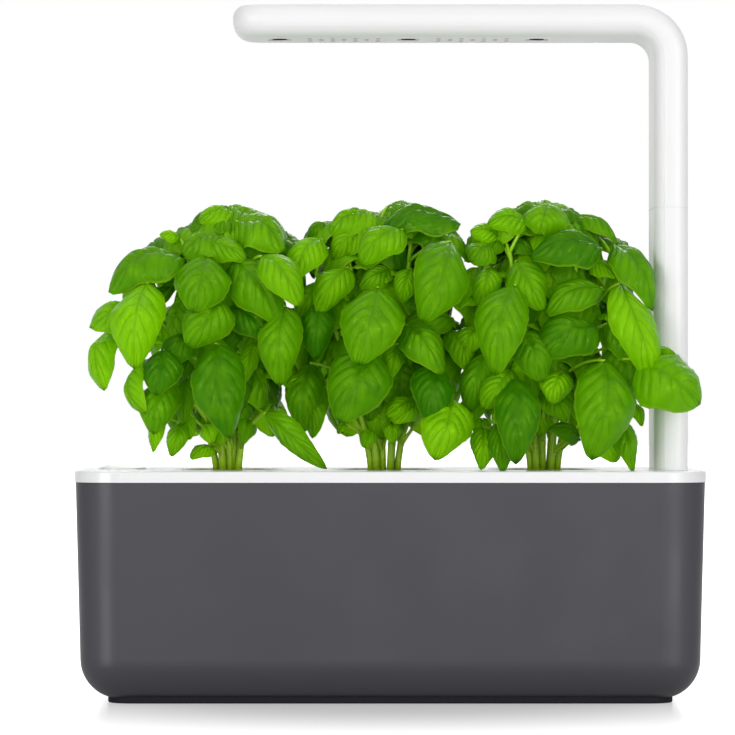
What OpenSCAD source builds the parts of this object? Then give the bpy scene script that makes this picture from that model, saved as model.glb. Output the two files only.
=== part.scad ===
// Countertop hydroponic garden: water tub, lift-out tray with float, three plant pods,
// and a lamp on a removable extension arm. Millimetres, +Z up, +X to the lamp's post,
// -Y to the front. The origin is the centre of the plinth's underside.

/* [Tub] */
// Width of the tub along its top edge
tub_w = 300; // [296:1:320]
// Depth of the tub along its top edge
tub_d = 126; // [124:1:136]
// Height of the tub's top edge above the table
tub_top_z = 105.2; // [102:0.1:116]
// Plan radius of the tub's vertical corners
tub_corner_r = 22; // [21.5:0.5:26]
// How far each side leans in by the bottom
tub_draft = 2.2; // [1:0.1:2.4]
// Radius of the long round between the sides and the bottom
tub_bottom_r = 19; // [12:0.5:19]
// Thickness of the tub's wall
tub_wall = 2.4; // [1.8:0.1:3]

/* [Plinth] */
// How far the plinth stands in from the tub's top outline
plinth_inset = 15.2; // [13:0.1:18]
// Height of the tub's bottom above the table
plinth_h = 2.2; // [1.9:0.1:4]
// Plan radius of the plinth's corners
plinth_corner_r = 12; // [8:0.5:16]
// Diameter of each anti-slip pad
pad_d = 16; // [10:0.5:20]
// Thickness of each anti-slip pad
pad_h = 1.4; // [1:0.1:1.8]

/* [Tray] */
// How far the tray's rim stands out past the tub
tray_overhang = 0.6; // [0.2:0.1:1.2]
// Height of the tray's rim
tray_h = 5.4; // [5:0.1:7]
// Thickness of the tray's top plate
tray_plate = 2.4; // [2.2:0.1:3]
// Round along the tray's top edge
tray_edge_r = 1; // [0.4:0.1:1.6]
// Depth of the skirt below the rim, inside the tub
skirt_h = 6.2; // [4:0.1:9]
// Thickness of the skirt
skirt_t = 1.6; // [1.2:0.1:2]
// Clearance of the skirt inside the tub's edge
skirt_gap = 0.4; // [0.3:0.05:0.6]

/* [Pods] */
// Distance from the float's axis to the first pod's axis
pod_from_float = 51.3; // [50.3:0.1:53]
// Distance from the last pod's axis to the middle of the lamp's post
pod_from_arm = 60.65; // [58:0.05:64]
// Diameter of a cup just under its lip
cup_d = 48.4; // [47:0.1:49]
// Diameter of a cup at its bottom
cup_bottom_d = 40; // [38:0.5:42]
// Depth of a cup below the tray's top face
cup_depth = 54.6; // [50:0.2:58]
// Wall of a cup
cup_wall = 1.4; // [1.2:0.1:1.8]
// Diameter of a cup's lip
cup_lip_d = 54; // [53:0.5:55]
// Thickness of a cup's lip
cup_lip_t = 1.2; // [1:0.1:1.4]
// Wall of a pod's shell
pod_wall = 1; // [0.8:0.1:1.2]
// Thickness of a pod's flange
pod_flange_t = 1.4; // [1:0.1:1.8]
// Width of the step that carries a pod's flange
pod_step = 1; // [0.8:0.1:1.3]
// Side clearance of a pod in its cup
pod_gap = 0.3; // [0.25:0.05:0.5]
// Width of a wick
wick_w = 12; // [8:0.5:16]
// Thickness of a wick
wick_t = 2; // [1.5:0.1:3]
// Height of a wick's lower end above the table
wick_end_z = 8; // [7:0.5:20]

/* [Float] */
// Distance of the float's axis from the tray's left end
float_edge = 20.8; // [20.6:0.1:22]
// Diameter of the float's cap
float_cap_d = 22.6; // [20:0.1:23.2]
// Height of the cap's top above the tray at a full tub
float_cap_rise = 3.1; // [2:0.1:5]
// Diameter of the float's body
float_body_d = 25.6; // [25:0.1:26.2]
// Height of the float's body
float_body_h = 20; // [16:0.5:24]
// Gap round the float in its cage
float_gap = 0.8; // [0.5:0.1:1]
// Wall of the float's cage
cage_wall = 1.4; // [1.2:0.1:1.6]
// Height of the cage's lower end above the table
cage_end_z = 24; // [16:1:30]
// Width of the pouring notch beside the float
notch_w = 13; // [9:0.5:14]
// Distance from the float's axis to the pouring notch's far end
notch_reach = 20.8; // [19.8:0.1:21.2]

/* [Lamp and arm] */
// Thickness of the lamp and of its post
arm_t = 16.5; // [15.5:0.1:18]
// Width of the lamp and of its post
arm_w = 52; // [50:0.5:56]
// Distance from the post's outer face to the tray's right end
arm_edge = 7.2; // [6.5:0.1:8]
// Height of the extension arm
extension_h = 126.4; // [110:0.1:150]
// Height of the lamp with its post above the extension arm
lamp_h = 98.5; // [92:0.5:110]
// Length of the lamp from its free end to the post's outer face
lamp_l = 219.4; // [205:0.2:226]
// Outer radius of the bend
bend_r = 26; // [24:0.5:30]
// Plan radius of the free end's corners
lamp_corner_r = 15; // [12:0.5:18]
// Edge radius on the outer side
edge_outer_r = 7; // [4:0.1:8]
// Edge radius on the inner side
edge_inner_r = 8.2; // [5:0.1:8.6]
// Depth of the parting line from the inner face
parting = 4.8; // [4.2:0.1:6]
// Wall of the lamp and arm shells
shell_wall = 1.8; // [1.4:0.1:2]
// Thickness of the tongue on each plug
tongue_t = 10.4; // [9:0.1:11]
// Width of the tongue on each plug
tongue_w = 38; // [34:0.5:40]
// Length of the tongue on each plug
tongue_l = 20.6; // [16:0.2:22]
// Clearance round a tongue in its socket
tongue_gap = 0.3; // [0.2:0.05:0.5]
// Width of each light window
window_w = 8.4; // [7:0.2:10]
// Length of each light window
window_l = 14; // [12:0.2:18]
// Distance from the lamp's free end to the middle light window
window_from_end = 84.9; // [80:0.1:90]
// Distance between light windows
window_pitch = 62.4; // [58:0.2:64]
// Diameter of a vent hole
vent_d = 2.6; // [1.8:0.1:3]
// Distance between neighbouring columns of vent holes
vent_pitch = 5.5; // [4.5:0.1:6]

/* [Power inlet] */
// Radius of the inlet's bore
inlet_r = 5.5; // [4.5:0.1:6]
// Width of the inlet's housing
inlet_w = 16; // [14:0.5:18]
// Distance from the inlet's axis to the tray's right end
inlet_edge = 38.6; // [36.6:0.5:41.6]
// Height of the inlet's centre above the table
inlet_z = 97; // [96:0.1:98]
// Length of the inlet's bore
inlet_l = 6; // [5:0.1:6.5]
// Clearance of the housing in the tub's notch
inlet_gap = 0.3; // [0.2:0.05:0.6]

/* [Plants] */
// Radius of a stem at its foot
stem_r = 1.7; // [1.4:0.1:2]
// Radius of a stem at its top
stem_top_r = 0.9; // [0.8:0.1:1.1]
// Radius of a leaf's stalk
stalk_r = 0.75; // [0.6:0.05:0.9]
// Thickness of a leaf
leaf_t = 0.9; // [0.7:0.1:1.2]
// How much a leaf arches, as a share of its length
leaf_arch = 0.15; // [0.05:0.01:0.2]
// How much a leaf's sides curl down, as a share of its width
leaf_curl = 0.16; // [0.05:0.01:0.25]

/* [Hidden] */

// Smoothness of round shells and of small round details
shell_fn = 96;
round_fn = 48;
// Small length by which a cutting shape passes the face that it cuts
over = 1;
// Barely visible round along edges that stay sharp
small_r = 0.3;
// Small length by which two cutting shapes overlap
seam = 0.01;

// Heights and places that follow from the dimensions above
tray_top_z = tub_top_z + tray_h;
plate_z = tray_top_z - tray_plate;
tray_w = tub_w + 2 * tray_overhang;
tray_d = tub_d + 2 * tray_overhang;
skirt_inset = tub_wall + skirt_gap;
float_x = -tray_w / 2 + float_edge;
arm_outer_x = tray_w / 2 - arm_edge;
arm_x = arm_outer_x - arm_t / 2;
inlet_x = tray_w / 2 - inlet_edge;
split_z = tray_top_z + extension_h;
total_h = split_z + lamp_h;
lamp_end_x = arm_outer_x - lamp_l;
bend_x = arm_outer_x - bend_r;
bend_z = total_h - bend_r;
lamp_mid_z = total_h - arm_t / 2;
lamp_low_z = total_h - arm_t;
parting_x = parting - arm_t / 2;
// The pods share out the room between the float and the lamp's post
pod_first_x = float_x + pod_from_float;
pod_pitch = (arm_x - pod_from_arm - pod_first_x) / 2;
POD_X = [for (i = [0:2]) pod_first_x + i * pod_pitch];
LEFT = 0;
MIDDLE = 1;
RIGHT = 2;

// ---------------------------------------------------------------- shared shapes

// Half profile of a block, from its corner's centre outwards
module edge_profile(r, z0, z1, top_r, bottom_r, draft) {
    low_x = r - draft - bottom_r;
    high_x = r - top_r;
    polygon([[0, z0], [low_x, z0], [low_x, z0 + bottom_r], [r - draft, z0 + bottom_r],
        [r, z1 - top_r], [high_x, z1 - top_r], [high_x, z1], [0, z1]]);
    intersection() {
        translate([low_x, z0 + bottom_r]) circle(bottom_r, $fn = shell_fn);
        translate([low_x, z0]) square(bottom_r);
    }
    intersection() {
        translate([high_x, z1 - top_r]) circle(top_r, $fn = shell_fn);
        translate([high_x, z1 - top_r]) square(top_r);
    }
}

// Block with round corners in plan, whose edge follows the child's profile
module profiled_block(w, d, r, z0, z1) {
    sx = w / 2 - r;
    sy = d / 2 - r;
    translate([-sx, -sy, z0]) cube([2 * sx, 2 * sy, z1 - z0]);
    for (turn = [0, 180]) rotate([0, 0, turn]) {
        translate([sx, sy, 0]) rotate_extrude(angle = 90, $fn = shell_fn) children(0);
        translate([-sx, sy, 0]) rotate([0, 0, 90]) rotate_extrude(angle = 90, $fn = shell_fn) children(0);
        translate([-sx, sy, 0]) rotate([90, 0, 90]) linear_extrude(2 * sx) children(0);
        translate([sx, sy, 0]) rotate([90, 0, 0]) linear_extrude(2 * sy) children(0);
    }
}

// Plain upright block with round corners in plan
module round_block(w, d, r, z0, z1) {
    translate([0, 0, z0]) linear_extrude(z1 - z0) {
        square([w - 2 * r, d], center = true);
        square([w, d - 2 * r], center = true);
        for (sx = [-1, 1], sy = [-1, 1])
            translate([sx * (w / 2 - r), sy * (d / 2 - r)]) circle(r, $fn = shell_fn);
    }
}

// Flat strip with round ends, along Y
module stadium(w, l) {
    square([w, l - w], center = true);
    for (s = [-1, 1]) translate([0, s * (l - w) / 2]) circle(w / 2, $fn = round_fn);
}

// Cone or cylinder between two heights
module turned(r0, r1, z0, z1) {
    rotate_extrude($fn = shell_fn) polygon([[0, z0], [r0, z0], [r1, z1], [0, z1]]);
}

// Box given by its lowest and highest corners
module box(low, high) {
    translate(low) cube(high - low);
}

// ---------------------------------------------------------------- tub and plinth

module tub_outline() {
    profiled_block(tub_w, tub_d, tub_corner_r, plinth_h, tub_top_z)
        edge_profile(tub_corner_r, plinth_h, tub_top_z, small_r, tub_bottom_r, tub_draft);
}

module tub() color("#4e4d52") difference() {
    tub_outline();
    profiled_block(tub_w - 2 * tub_wall, tub_d - 2 * tub_wall, tub_corner_r - tub_wall,
        plinth_h + tub_wall, tub_top_z + over)
        edge_profile(tub_corner_r - tub_wall, plinth_h + tub_wall, tub_top_z + over, small_r,
            tub_bottom_r - tub_wall, tub_draft);
    box([inlet_x - inlet_w / 2 - inlet_gap, bay_y1 - over, inlet_low_z - inlet_gap],
        [inlet_x + inlet_w / 2 + inlet_gap, tub_d / 2 + over, tub_top_z + over]);
}

plinth_w = tub_w - 2 * plinth_inset;
plinth_d = tub_d - 2 * plinth_inset;
// The plinth's edge rises to meet the tub's round
plinth_rise = 3;
plinth_edge_r = 0.8;
plinth_seat_gap = 0.05;
pad_gap = 0.1;
pad_x = plinth_w / 2 - pad_d;
pad_y = plinth_d / 2 - pad_d;

module base_plinth() color("#3f3e43") difference() {
    profiled_block(plinth_w, plinth_d, plinth_corner_r, 0, plinth_h + plinth_rise)
        edge_profile(plinth_corner_r, 0, plinth_h + plinth_rise, small_r, plinth_edge_r, 0);
    translate([0, 0, -plinth_seat_gap]) tub_outline();
    for (sx = [-1, 1], sy = [-1, 1])
        translate([sx * pad_x, sy * pad_y, -over])
            cylinder(pad_h + over, d = pad_d + 2 * pad_gap, $fn = round_fn);
}

module anti_slip_pads() color("#1c1c1e") {
    for (sx = [-1, 1], sy = [-1, 1])
        translate([sx * pad_x, sy * pad_y, 0]) cylinder(pad_h, d = pad_d, $fn = round_fn);
}

// ---------------------------------------------------------------- tray

// Clearances of the openings in the tray's top plate
hole_gap = 0.4;
cap_gap = 0.7;
// Opening for a tongue, and the housing round it
pocket_t = tongue_t + 2 * tongue_gap;
pocket_w = tongue_w + 2 * tongue_gap;
rib_t = 1.6;
rib_h = 5;
rib_end_gap = 1;

module float_opening() {
    circle(float_cap_d / 2 + cap_gap, $fn = round_fn);
    translate([0, -notch_w / 2]) square([notch_reach - notch_w / 2, notch_w]);
    translate([notch_reach - notch_w / 2, 0]) circle(notch_w / 2, $fn = round_fn);
}

module tray() color("#f0f0f2") difference() {
    union() {
        difference() {
            union() {
                profiled_block(tray_w, tray_d, tub_corner_r + tray_overhang, tub_top_z, tray_top_z)
                    edge_profile(tub_corner_r + tray_overhang, tub_top_z, tray_top_z, tray_edge_r,
                        small_r, 0);
                round_block(tub_w - 2 * skirt_inset, tub_d - 2 * skirt_inset, tub_corner_r - skirt_inset,
                    tub_top_z - skirt_h, tub_top_z + over / 2);
            }
            round_block(tub_w - 2 * (skirt_inset + skirt_t), tub_d - 2 * (skirt_inset + skirt_t),
                tub_corner_r - skirt_inset - skirt_t, tub_top_z - skirt_h - over, plate_z);
        }
        for (x = [for (i = [0.5, 1.5]) pod_first_x + i * pod_pitch])
            box([x - rib_t / 2, -tub_d / 2 + skirt_inset + rib_end_gap, plate_z - rib_h],
                [x + rib_t / 2, tub_d / 2 - skirt_inset - rib_end_gap, plate_z + over / 2]);
    }
    for (x = POD_X) translate([x, 0, 0]) {
        translate([0, 0, plate_z - over])
            cylinder(tray_plate + 2 * over, d = cup_d + 2 * hole_gap, $fn = shell_fn);
        translate([0, 0, tray_top_z - cup_lip_t])
            cylinder(over + cup_lip_t, d = cup_lip_d + hole_gap, $fn = shell_fn);
    }
    translate([float_x, 0, plate_z - over]) linear_extrude(tray_plate + 2 * over) float_opening();
    box([arm_x - pocket_t / 2, -pocket_w / 2, plate_z - over],
        [arm_x + pocket_t / 2, pocket_w / 2, tray_top_z + over]);
    box([inlet_x - inlet_w / 2 - inlet_gap, bay_y1, tub_top_z - skirt_h - over],
        [inlet_x + inlet_w / 2 + inlet_gap, tub_d / 2, tub_top_z]);
}

// Cage under the tray that guides the float
cage_r = float_body_d / 2 + float_gap;
cage_floor = 2;
cage_slot_w = 5;
cage_slot_rise = 3;
cage_slot_stop = 6;
cage_notch_h = 26;
cage_notch_z = plate_z - cage_notch_h;
cage_notch_side = 0.5;
cage_drain_d = 10;

module float_cage() color("#e6e6e8") translate([float_x, 0, 0]) difference() {
    translate([0, 0, cage_end_z]) cylinder(plate_z - cage_end_z, r = cage_r + cage_wall, $fn = shell_fn);
    translate([0, 0, cage_end_z + cage_floor]) cylinder(plate_z - cage_end_z, r = cage_r, $fn = shell_fn);
    for (turn = [45, 135]) rotate([0, 0, turn])
        box([-2 * cage_r, -cage_slot_w / 2, cage_end_z + cage_floor + cage_slot_rise],
            [2 * cage_r, cage_slot_w / 2, cage_notch_z - cage_slot_stop]);
    box([0, cage_notch_side - notch_w / 2, cage_notch_z],
        [2 * cage_r, notch_w / 2 - cage_notch_side, plate_z + over]);
    translate([0, 0, cage_end_z - over]) cylinder(cage_floor + 2 * over, d = cage_drain_d, $fn = round_fn);
}

// ---------------------------------------------------------------- float

// The float's body touches the plate's underside at a full tub, a little below it
float_top_gap = 0.5;
float_top_z = plate_z - float_top_gap;
float_wall = 2;
cap_rim_gap = 0.8;
cap_rim_z = tray_top_z + cap_rim_gap;
cap_neck_r = 6;
cap_rim_t = 1;

module float_body() color("#d9d9db") translate([float_x, 0, 0]) difference() {
    translate([0, 0, float_top_z - float_body_h]) cylinder(float_body_h, d = float_body_d, $fn = shell_fn);
    translate([0, 0, float_top_z - float_body_h - over])
        cylinder(float_body_h - float_wall + over, d = float_body_d - 2 * float_wall, $fn = shell_fn);
}

// Shallow dome on a neck that stands on the float's body
module float_cap() color("#f4f4f6") translate([float_x, 0, 0]) {
    dome_h = tray_top_z + float_cap_rise - cap_rim_z;
    dome_r = (pow(float_cap_d / 2, 2) + dome_h * dome_h) / (2 * dome_h);
    intersection() {
        translate([0, 0, cap_rim_z + dome_h - dome_r]) sphere(dome_r, $fn = shell_fn);
        translate([0, 0, cap_rim_z]) cylinder(dome_h + over, d = float_cap_d, $fn = shell_fn);
    }
    translate([0, 0, cap_rim_z - cap_rim_t]) cylinder(cap_rim_t, d = float_cap_d, $fn = shell_fn);
    translate([0, 0, float_top_z])
        cylinder(cap_rim_z - cap_rim_t - float_top_z, r = cap_neck_r, $fn = round_fn);
}

// ---------------------------------------------------------------- pod cups and wicks

cup_lip_z = tray_top_z - cup_lip_t;
cup_floor_z = tray_top_z - cup_depth;
cup_mouth_gain = 0.2;
cup_mouth_r = cup_d / 2 - cup_wall + cup_mouth_gain;
flange_z = tray_top_z - pod_flange_t;
cup_floor_t = 1.4;
wick_pad_z = cup_floor_z + cup_floor_t;
wick_pad_t = 2;
wick_gap = 0.3;
cup_slot_w = 4;
cup_slot_h = 22;
cup_slot_rise = 4;

// Inner radius of a cup at a height, below the step
function cup_bore(z) = let (share = (z - cup_floor_z) / (cup_lip_z - cup_floor_z))
    (cup_bottom_d + share * (cup_d - cup_bottom_d)) / 2 - cup_wall - share * (pod_step - cup_mouth_gain);

module cup(x) color("#e9e9eb") translate([x, 0, 0]) difference() {
    union() {
        turned(cup_bottom_d / 2, cup_d / 2, cup_floor_z, cup_lip_z);
        translate([0, 0, cup_lip_z]) cylinder(cup_lip_t, d = cup_lip_d, $fn = shell_fn);
    }
    turned(cup_bore(wick_pad_z), cup_bore(flange_z), wick_pad_z, flange_z);
    translate([0, 0, flange_z]) cylinder(pod_flange_t + over, r = cup_mouth_r, $fn = shell_fn);
    translate([0, 0, cup_floor_z - over]) linear_extrude(cup_floor_t + 2 * over)
        square([wick_w + 2 * wick_gap, wick_t + 2 * wick_gap], center = true);
    for (turn = [30, 90, 150]) rotate([0, 0, turn])
        box([-cup_d, -cup_slot_w / 2, wick_pad_z + cup_slot_rise],
            [cup_d, cup_slot_w / 2, wick_pad_z + cup_slot_rise + cup_slot_h]);
}

module wick(x) color("#dcd6c4") translate([x, 0, 0]) {
    translate([0, 0, wick_pad_z]) cylinder(wick_pad_t, r = cup_bore(wick_pad_z) - wick_gap, $fn = shell_fn);
    box([-wick_w / 2, -wick_t / 2, wick_end_z], [wick_w / 2, wick_t / 2, wick_pad_z]);
}

module cup_left() cup(POD_X[LEFT]);
module cup_middle() cup(POD_X[MIDDLE]);
module cup_right() cup(POD_X[RIGHT]);
module wick_left() wick(POD_X[LEFT]);
module wick_middle() wick(POD_X[MIDDLE]);
module wick_right() wick(POD_X[RIGHT]);

// ---------------------------------------------------------------- pods

pod_rest_gap = 0.3;
pod_low_z = wick_pad_z + wick_pad_t + pod_rest_gap;
pod_floor_t = 1.2;
pod_drain_d = 5;
pod_drain_reach = 9.5;
soil_low_z = pod_low_z + pod_floor_t;
soil_drop = 0.9;
soil_top_z = tray_top_z - soil_drop;
soil_gap = 0.1;
label_t = 0.4;
label_hole_d = 22;

function pod_radius(z) = cup_bore(z) - pod_gap;

module pod_shell(x) color("#d2d3d0") translate([x, 0, 0]) difference() {
    union() {
        turned(pod_radius(pod_low_z), pod_radius(flange_z), pod_low_z, flange_z);
        translate([0, 0, flange_z]) cylinder(pod_flange_t, r = cup_mouth_r - pod_gap, $fn = shell_fn);
    }
    turned(pod_radius(soil_low_z) - pod_wall, pod_radius(flange_z) - pod_wall, soil_low_z, flange_z);
    translate([0, 0, flange_z - seam])
        cylinder(pod_flange_t + over, r = pod_radius(flange_z) - pod_wall, $fn = shell_fn);
    for (turn = [0:60:300]) rotate([0, 0, turn])
        translate([pod_drain_reach, 0, pod_low_z - over])
            cylinder(pod_floor_t + 2 * over, d = pod_drain_d, $fn = round_fn);
}

module growing_medium(x) color("#3a2a1c") translate([x, 0, 0])
    turned(pod_radius(soil_low_z) - pod_wall - soil_gap, pod_radius(soil_top_z) - pod_wall - soil_gap,
        soil_low_z, soil_top_z);

module pod_label(x) color("#efeee8") translate([x, 0, soil_top_z]) difference() {
    cylinder(label_t, r = pod_radius(flange_z) - pod_wall - soil_gap, $fn = shell_fn);
    translate([0, 0, -over]) cylinder(label_t + 2 * over, d = label_hole_d, $fn = round_fn);
}

module pod_shell_left() pod_shell(POD_X[LEFT]);
module pod_shell_middle() pod_shell(POD_X[MIDDLE]);
module pod_shell_right() pod_shell(POD_X[RIGHT]);
module growing_medium_left() growing_medium(POD_X[LEFT]);
module growing_medium_middle() growing_medium(POD_X[MIDDLE]);
module growing_medium_right() growing_medium(POD_X[RIGHT]);
module pod_label_left() pod_label(POD_X[LEFT]);
module pod_label_middle() pod_label(POD_X[MIDDLE]);
module pod_label_right() pod_label(POD_X[RIGHT]);

// ---------------------------------------------------------------- plug-in joint of the arm

// Room for the sprung contacts between a tongue and its socket's floor
contact_room = 3.4;
contact_gap = 0.3;
contact_t = 0.5;
contact_w = 2.4;
pad_contact_t = 0.6;
contact_rise = contact_room - pad_contact_t - contact_gap;
contact_pitch = 6;
CONTACT_X = [-contact_pitch / 2, contact_pitch / 2];
contact_foot_y = -4;
contact_tip_y = 3;
contact_tip_drop = 0.6;
contact_tail_y = -8;
contact_tail_t = 1;
contact_tail_l = 4.4;
contact_slot_gap = 0.1;
socket_floor_t = 2;
plug_root_h = 9;
plug_root_gap = 0.1;
plug_pin_end = 1.5;
plug_pin_w = 1;
plug_pin_gap = 0.1;
PLUG_PAD = [[-1.5, -2.5], [1.5, 3.5]];

// Bent spring strip on a socket's floor, with a tail through the floor
module spring_contact(floor_z) {
    translate([-contact_w / 2, 0, floor_z]) rotate([90, 0, 90]) linear_extrude(contact_w)
        polygon([[contact_tail_y, 0], [contact_foot_y, 0], [0, contact_rise - contact_t],
            [contact_tip_y, contact_rise - contact_tip_drop - contact_t],
            [contact_tip_y, contact_rise - contact_tip_drop], [0, contact_rise],
            [contact_foot_y, contact_t], [contact_tail_y, contact_t]]);
    box([-contact_tail_t / 2, contact_tail_y, floor_z - contact_tail_l],
        [contact_tail_t / 2, contact_tail_y + contact_tail_t, floor_z]);
}

// Slots in a socket's floor that the contacts' tails pass through
module tail_slots(floor_z) {
    for (x = CONTACT_X) translate([arm_x + x, 0, 0])
        box([-contact_tail_t / 2 - contact_slot_gap, contact_tail_y - contact_slot_gap,
            floor_z - socket_floor_t - over],
            [contact_tail_t / 2 + contact_slot_gap, contact_tail_y + contact_tail_t + contact_slot_gap,
                floor_z + over]);
}

module socket_contact_pair(face_z) {
    for (x = CONTACT_X) translate([arm_x + x, 0, 0]) spring_contact(face_z - tongue_l - contact_room);
}

// Plug whose tongue enters the socket below a face, with a root inside the shells above it
module plug(face_z) difference() {
    hole = plug_pin_w / 2 + plug_pin_gap;
    union() {
        box([arm_x - tongue_t / 2, -tongue_w / 2, face_z - tongue_l],
            [arm_x + tongue_t / 2, tongue_w / 2, face_z]);
        translate([arm_x, 0, face_z]) linear_extrude(plug_root_h) arm_section(shell_wall + plug_root_gap);
    }
    for (x = CONTACT_X) translate([arm_x + x, 0, 0])
        box([-hole, -hole, face_z - tongue_l - over], [hole, hole, face_z + plug_root_h + over]);
}

// Flat pads under a tongue, each with a pin up through the plug
module plug_contact_pair(face_z) {
    for (x = CONTACT_X) translate([arm_x + x, 0, 0]) {
        box([each PLUG_PAD[0], face_z - tongue_l - pad_contact_t], [each PLUG_PAD[1], face_z - tongue_l]);
        box([-plug_pin_w / 2, -plug_pin_w / 2, face_z - tongue_l],
            [plug_pin_w / 2, plug_pin_w / 2, face_z + plug_root_h + plug_pin_end]);
    }
}

// ---------------------------------------------------------------- socket under the tray

housing_wall = 1.6;
wiring_h = 6;
cover_t = 1.6;
pocket_floor_z = tray_top_z - tongue_l - contact_room;
wiring_top_z = pocket_floor_z - socket_floor_t;
housing_low_z = wiring_top_z - wiring_h;
box_x0 = arm_x - pocket_t / 2 - housing_wall;
box_x1 = arm_x + pocket_t / 2 + housing_wall;
box_y0 = -pocket_w / 2 - housing_wall;
// The bay behind the socket reaches back to the inlet, and laps the socket's box on two sides
bay_lap_x = 4;
bay_lap_y = 14;
bay_l = 31;
bay_x0 = inlet_x - inlet_w / 2;
bay_x1 = box_x0 + bay_lap_x;
bay_y1 = tub_d / 2 - inlet_l;
bay_y0 = bay_y1 - bay_l;
box_y1 = bay_y0 + bay_lap_y;
screw_r = 0.95;
screw_head_r = 2.3;
screw_head_t = 1.4;
cross_l = 3.2;
cross_w = 0.6;
cross_depth = 0.6;
pilot_r = 1;
screw_hole_r = 1.3;
boss_r = 2.8;
boss_from_wall = 2;
SCREW_XY = [
    [bay_x0 + housing_wall + boss_from_wall, bay_y0 + housing_wall + boss_from_wall],
    [bay_x1 - housing_wall - boss_from_wall, bay_y1 - housing_wall - boss_from_wall],
    [arm_x, box_y0 + housing_wall + boss_from_wall]];
jack_w = 10;
jack_l = 10;
jack_gap = 0.1;

module housing_outline(z0, z1) {
    box([box_x0, box_y0, z0], [box_x1, box_y1, z1]);
    box([bay_x0, bay_y0, z0], [bay_x1, bay_y1, z1]);
}

module socket_housing() color("#c9c9cc") difference() {
    union() {
        difference() {
            housing_outline(housing_low_z, plate_z);
            box([arm_x - pocket_t / 2, -pocket_w / 2, pocket_floor_z],
                [arm_x + pocket_t / 2, pocket_w / 2, plate_z + over]);
            box([arm_x - pocket_t / 2, -pocket_w / 2, housing_low_z - over],
                [arm_x + pocket_t / 2, box_y1 - housing_wall, wiring_top_z]);
            box([arm_x - pocket_t / 2, pocket_w / 2 + housing_wall, housing_low_z - over],
                [arm_x + pocket_t / 2, box_y1 - housing_wall, plate_z - housing_wall]);
            box([bay_x0 + housing_wall, bay_y0 + housing_wall, housing_low_z - over],
                [bay_x1 - housing_wall, bay_y1 - housing_wall, plate_z - housing_wall]);
            box([bay_x1 - housing_wall - over, bay_y0 + housing_wall, housing_low_z - over],
                [arm_x, box_y1 - housing_wall, plate_z - wiring_h]);
        }
        for (p = SCREW_XY) translate([p[0], p[1], housing_low_z])
            cylinder(wiring_h + over / 2, r = boss_r, $fn = round_fn);
    }
    for (p = SCREW_XY) translate([p[0], p[1], housing_low_z - over])
        cylinder(wiring_h, r = pilot_r, $fn = round_fn);
    tail_slots(pocket_floor_z);
    box([inlet_x - jack_w / 2 - jack_gap, bay_y1 - housing_wall - over, inlet_z - jack_w / 2 - jack_gap],
        [inlet_x + jack_w / 2 + jack_gap, bay_y1 + over, inlet_z + jack_w / 2 + jack_gap]);
}

module socket_contacts() color("#c8a24a") socket_contact_pair(tray_top_z);

module socket_cover() color("#b8b8bc") difference() {
    housing_outline(housing_low_z - cover_t, housing_low_z);
    for (p = SCREW_XY) translate([p[0], p[1], housing_low_z - cover_t - over])
        cylinder(cover_t + 2 * over, r = screw_hole_r, $fn = round_fn);
}

// Screw with its head at the given height and its shank upward
module screw(head_z, under_z, end_z) {
    translate([0, 0, head_z]) difference() {
        cylinder(under_z - head_z, r = screw_head_r, $fn = round_fn);
        box([-cross_l / 2, -cross_w / 2, -over], [cross_l / 2, cross_w / 2, cross_depth]);
        box([-cross_w / 2, -cross_l / 2, -over], [cross_w / 2, cross_l / 2, cross_depth]);
    }
    translate([0, 0, under_z]) cylinder(end_z - under_z, r = screw_r, $fn = round_fn);
}

module socket_screws() color("#9a9a9e") {
    for (p = SCREW_XY) translate([p[0], p[1], 0])
        screw(housing_low_z - cover_t - screw_head_t, housing_low_z - cover_t,
            housing_low_z + wiring_h - 2 * over);
}

// ---------------------------------------------------------------- power inlet

inlet_drop = 7.3;
inlet_low_z = inlet_z - inlet_drop;
jack_bore_r = 3.2;
jack_bore_l = 8;
jack_pin_r = 1.05;
jack_pin_l = 7.2;
wire_r = 0.7;
wire_sides = 6;

module inlet_housing() color("#2c2c2f") difference() {
    box([inlet_x - inlet_w / 2, bay_y1, inlet_low_z], [inlet_x + inlet_w / 2, tub_d / 2, tub_top_z]);
    translate([inlet_x, tub_d / 2 + over, inlet_z]) rotate([90, 0, 0])
        cylinder(inlet_l + 2 * over, r = inlet_r, $fn = shell_fn);
}

module power_jack() color("#1b1b1d") difference() {
    box([inlet_x - jack_w / 2, bay_y1 - jack_l, inlet_z - jack_w / 2],
        [inlet_x + jack_w / 2, bay_y1, inlet_z + jack_w / 2]);
    translate([inlet_x, bay_y1 + over, inlet_z]) rotate([90, 0, 0])
        cylinder(jack_bore_l + over, r = jack_bore_r, $fn = round_fn);
}

module jack_pin() color("#b9b9bd")
    translate([inlet_x, bay_y1 - jack_bore_l + jack_pin_l, inlet_z]) rotate([90, 0, 0])
        cylinder(jack_pin_l, r = jack_pin_r, $fn = round_fn);

function unit(v) = v / norm(v);

// Closed skin over rings of points that all turn the same way round
module skin(rings) {
    n = len(rings[0]);
    m = len(rings);
    sides = [for (i = [0:m - 2], k = [0:n - 1])
        let (a = i * n + k, a2 = i * n + (k + 1) % n) each [[a, a + n, a2 + n], [a, a2 + n, a2]]];
    caps = [[for (k = [0:n - 1]) k], [for (k = [n - 1:-1:0]) (m - 1) * n + k]];
    polyhedron([for (ring = rings) each ring], concat(sides, caps));
}

// Direction of a route at one of its points
function heading(route, i) = unit(route[min(i + 1, len(route) - 1)] - route[max(i - 1, 0)]);

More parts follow.
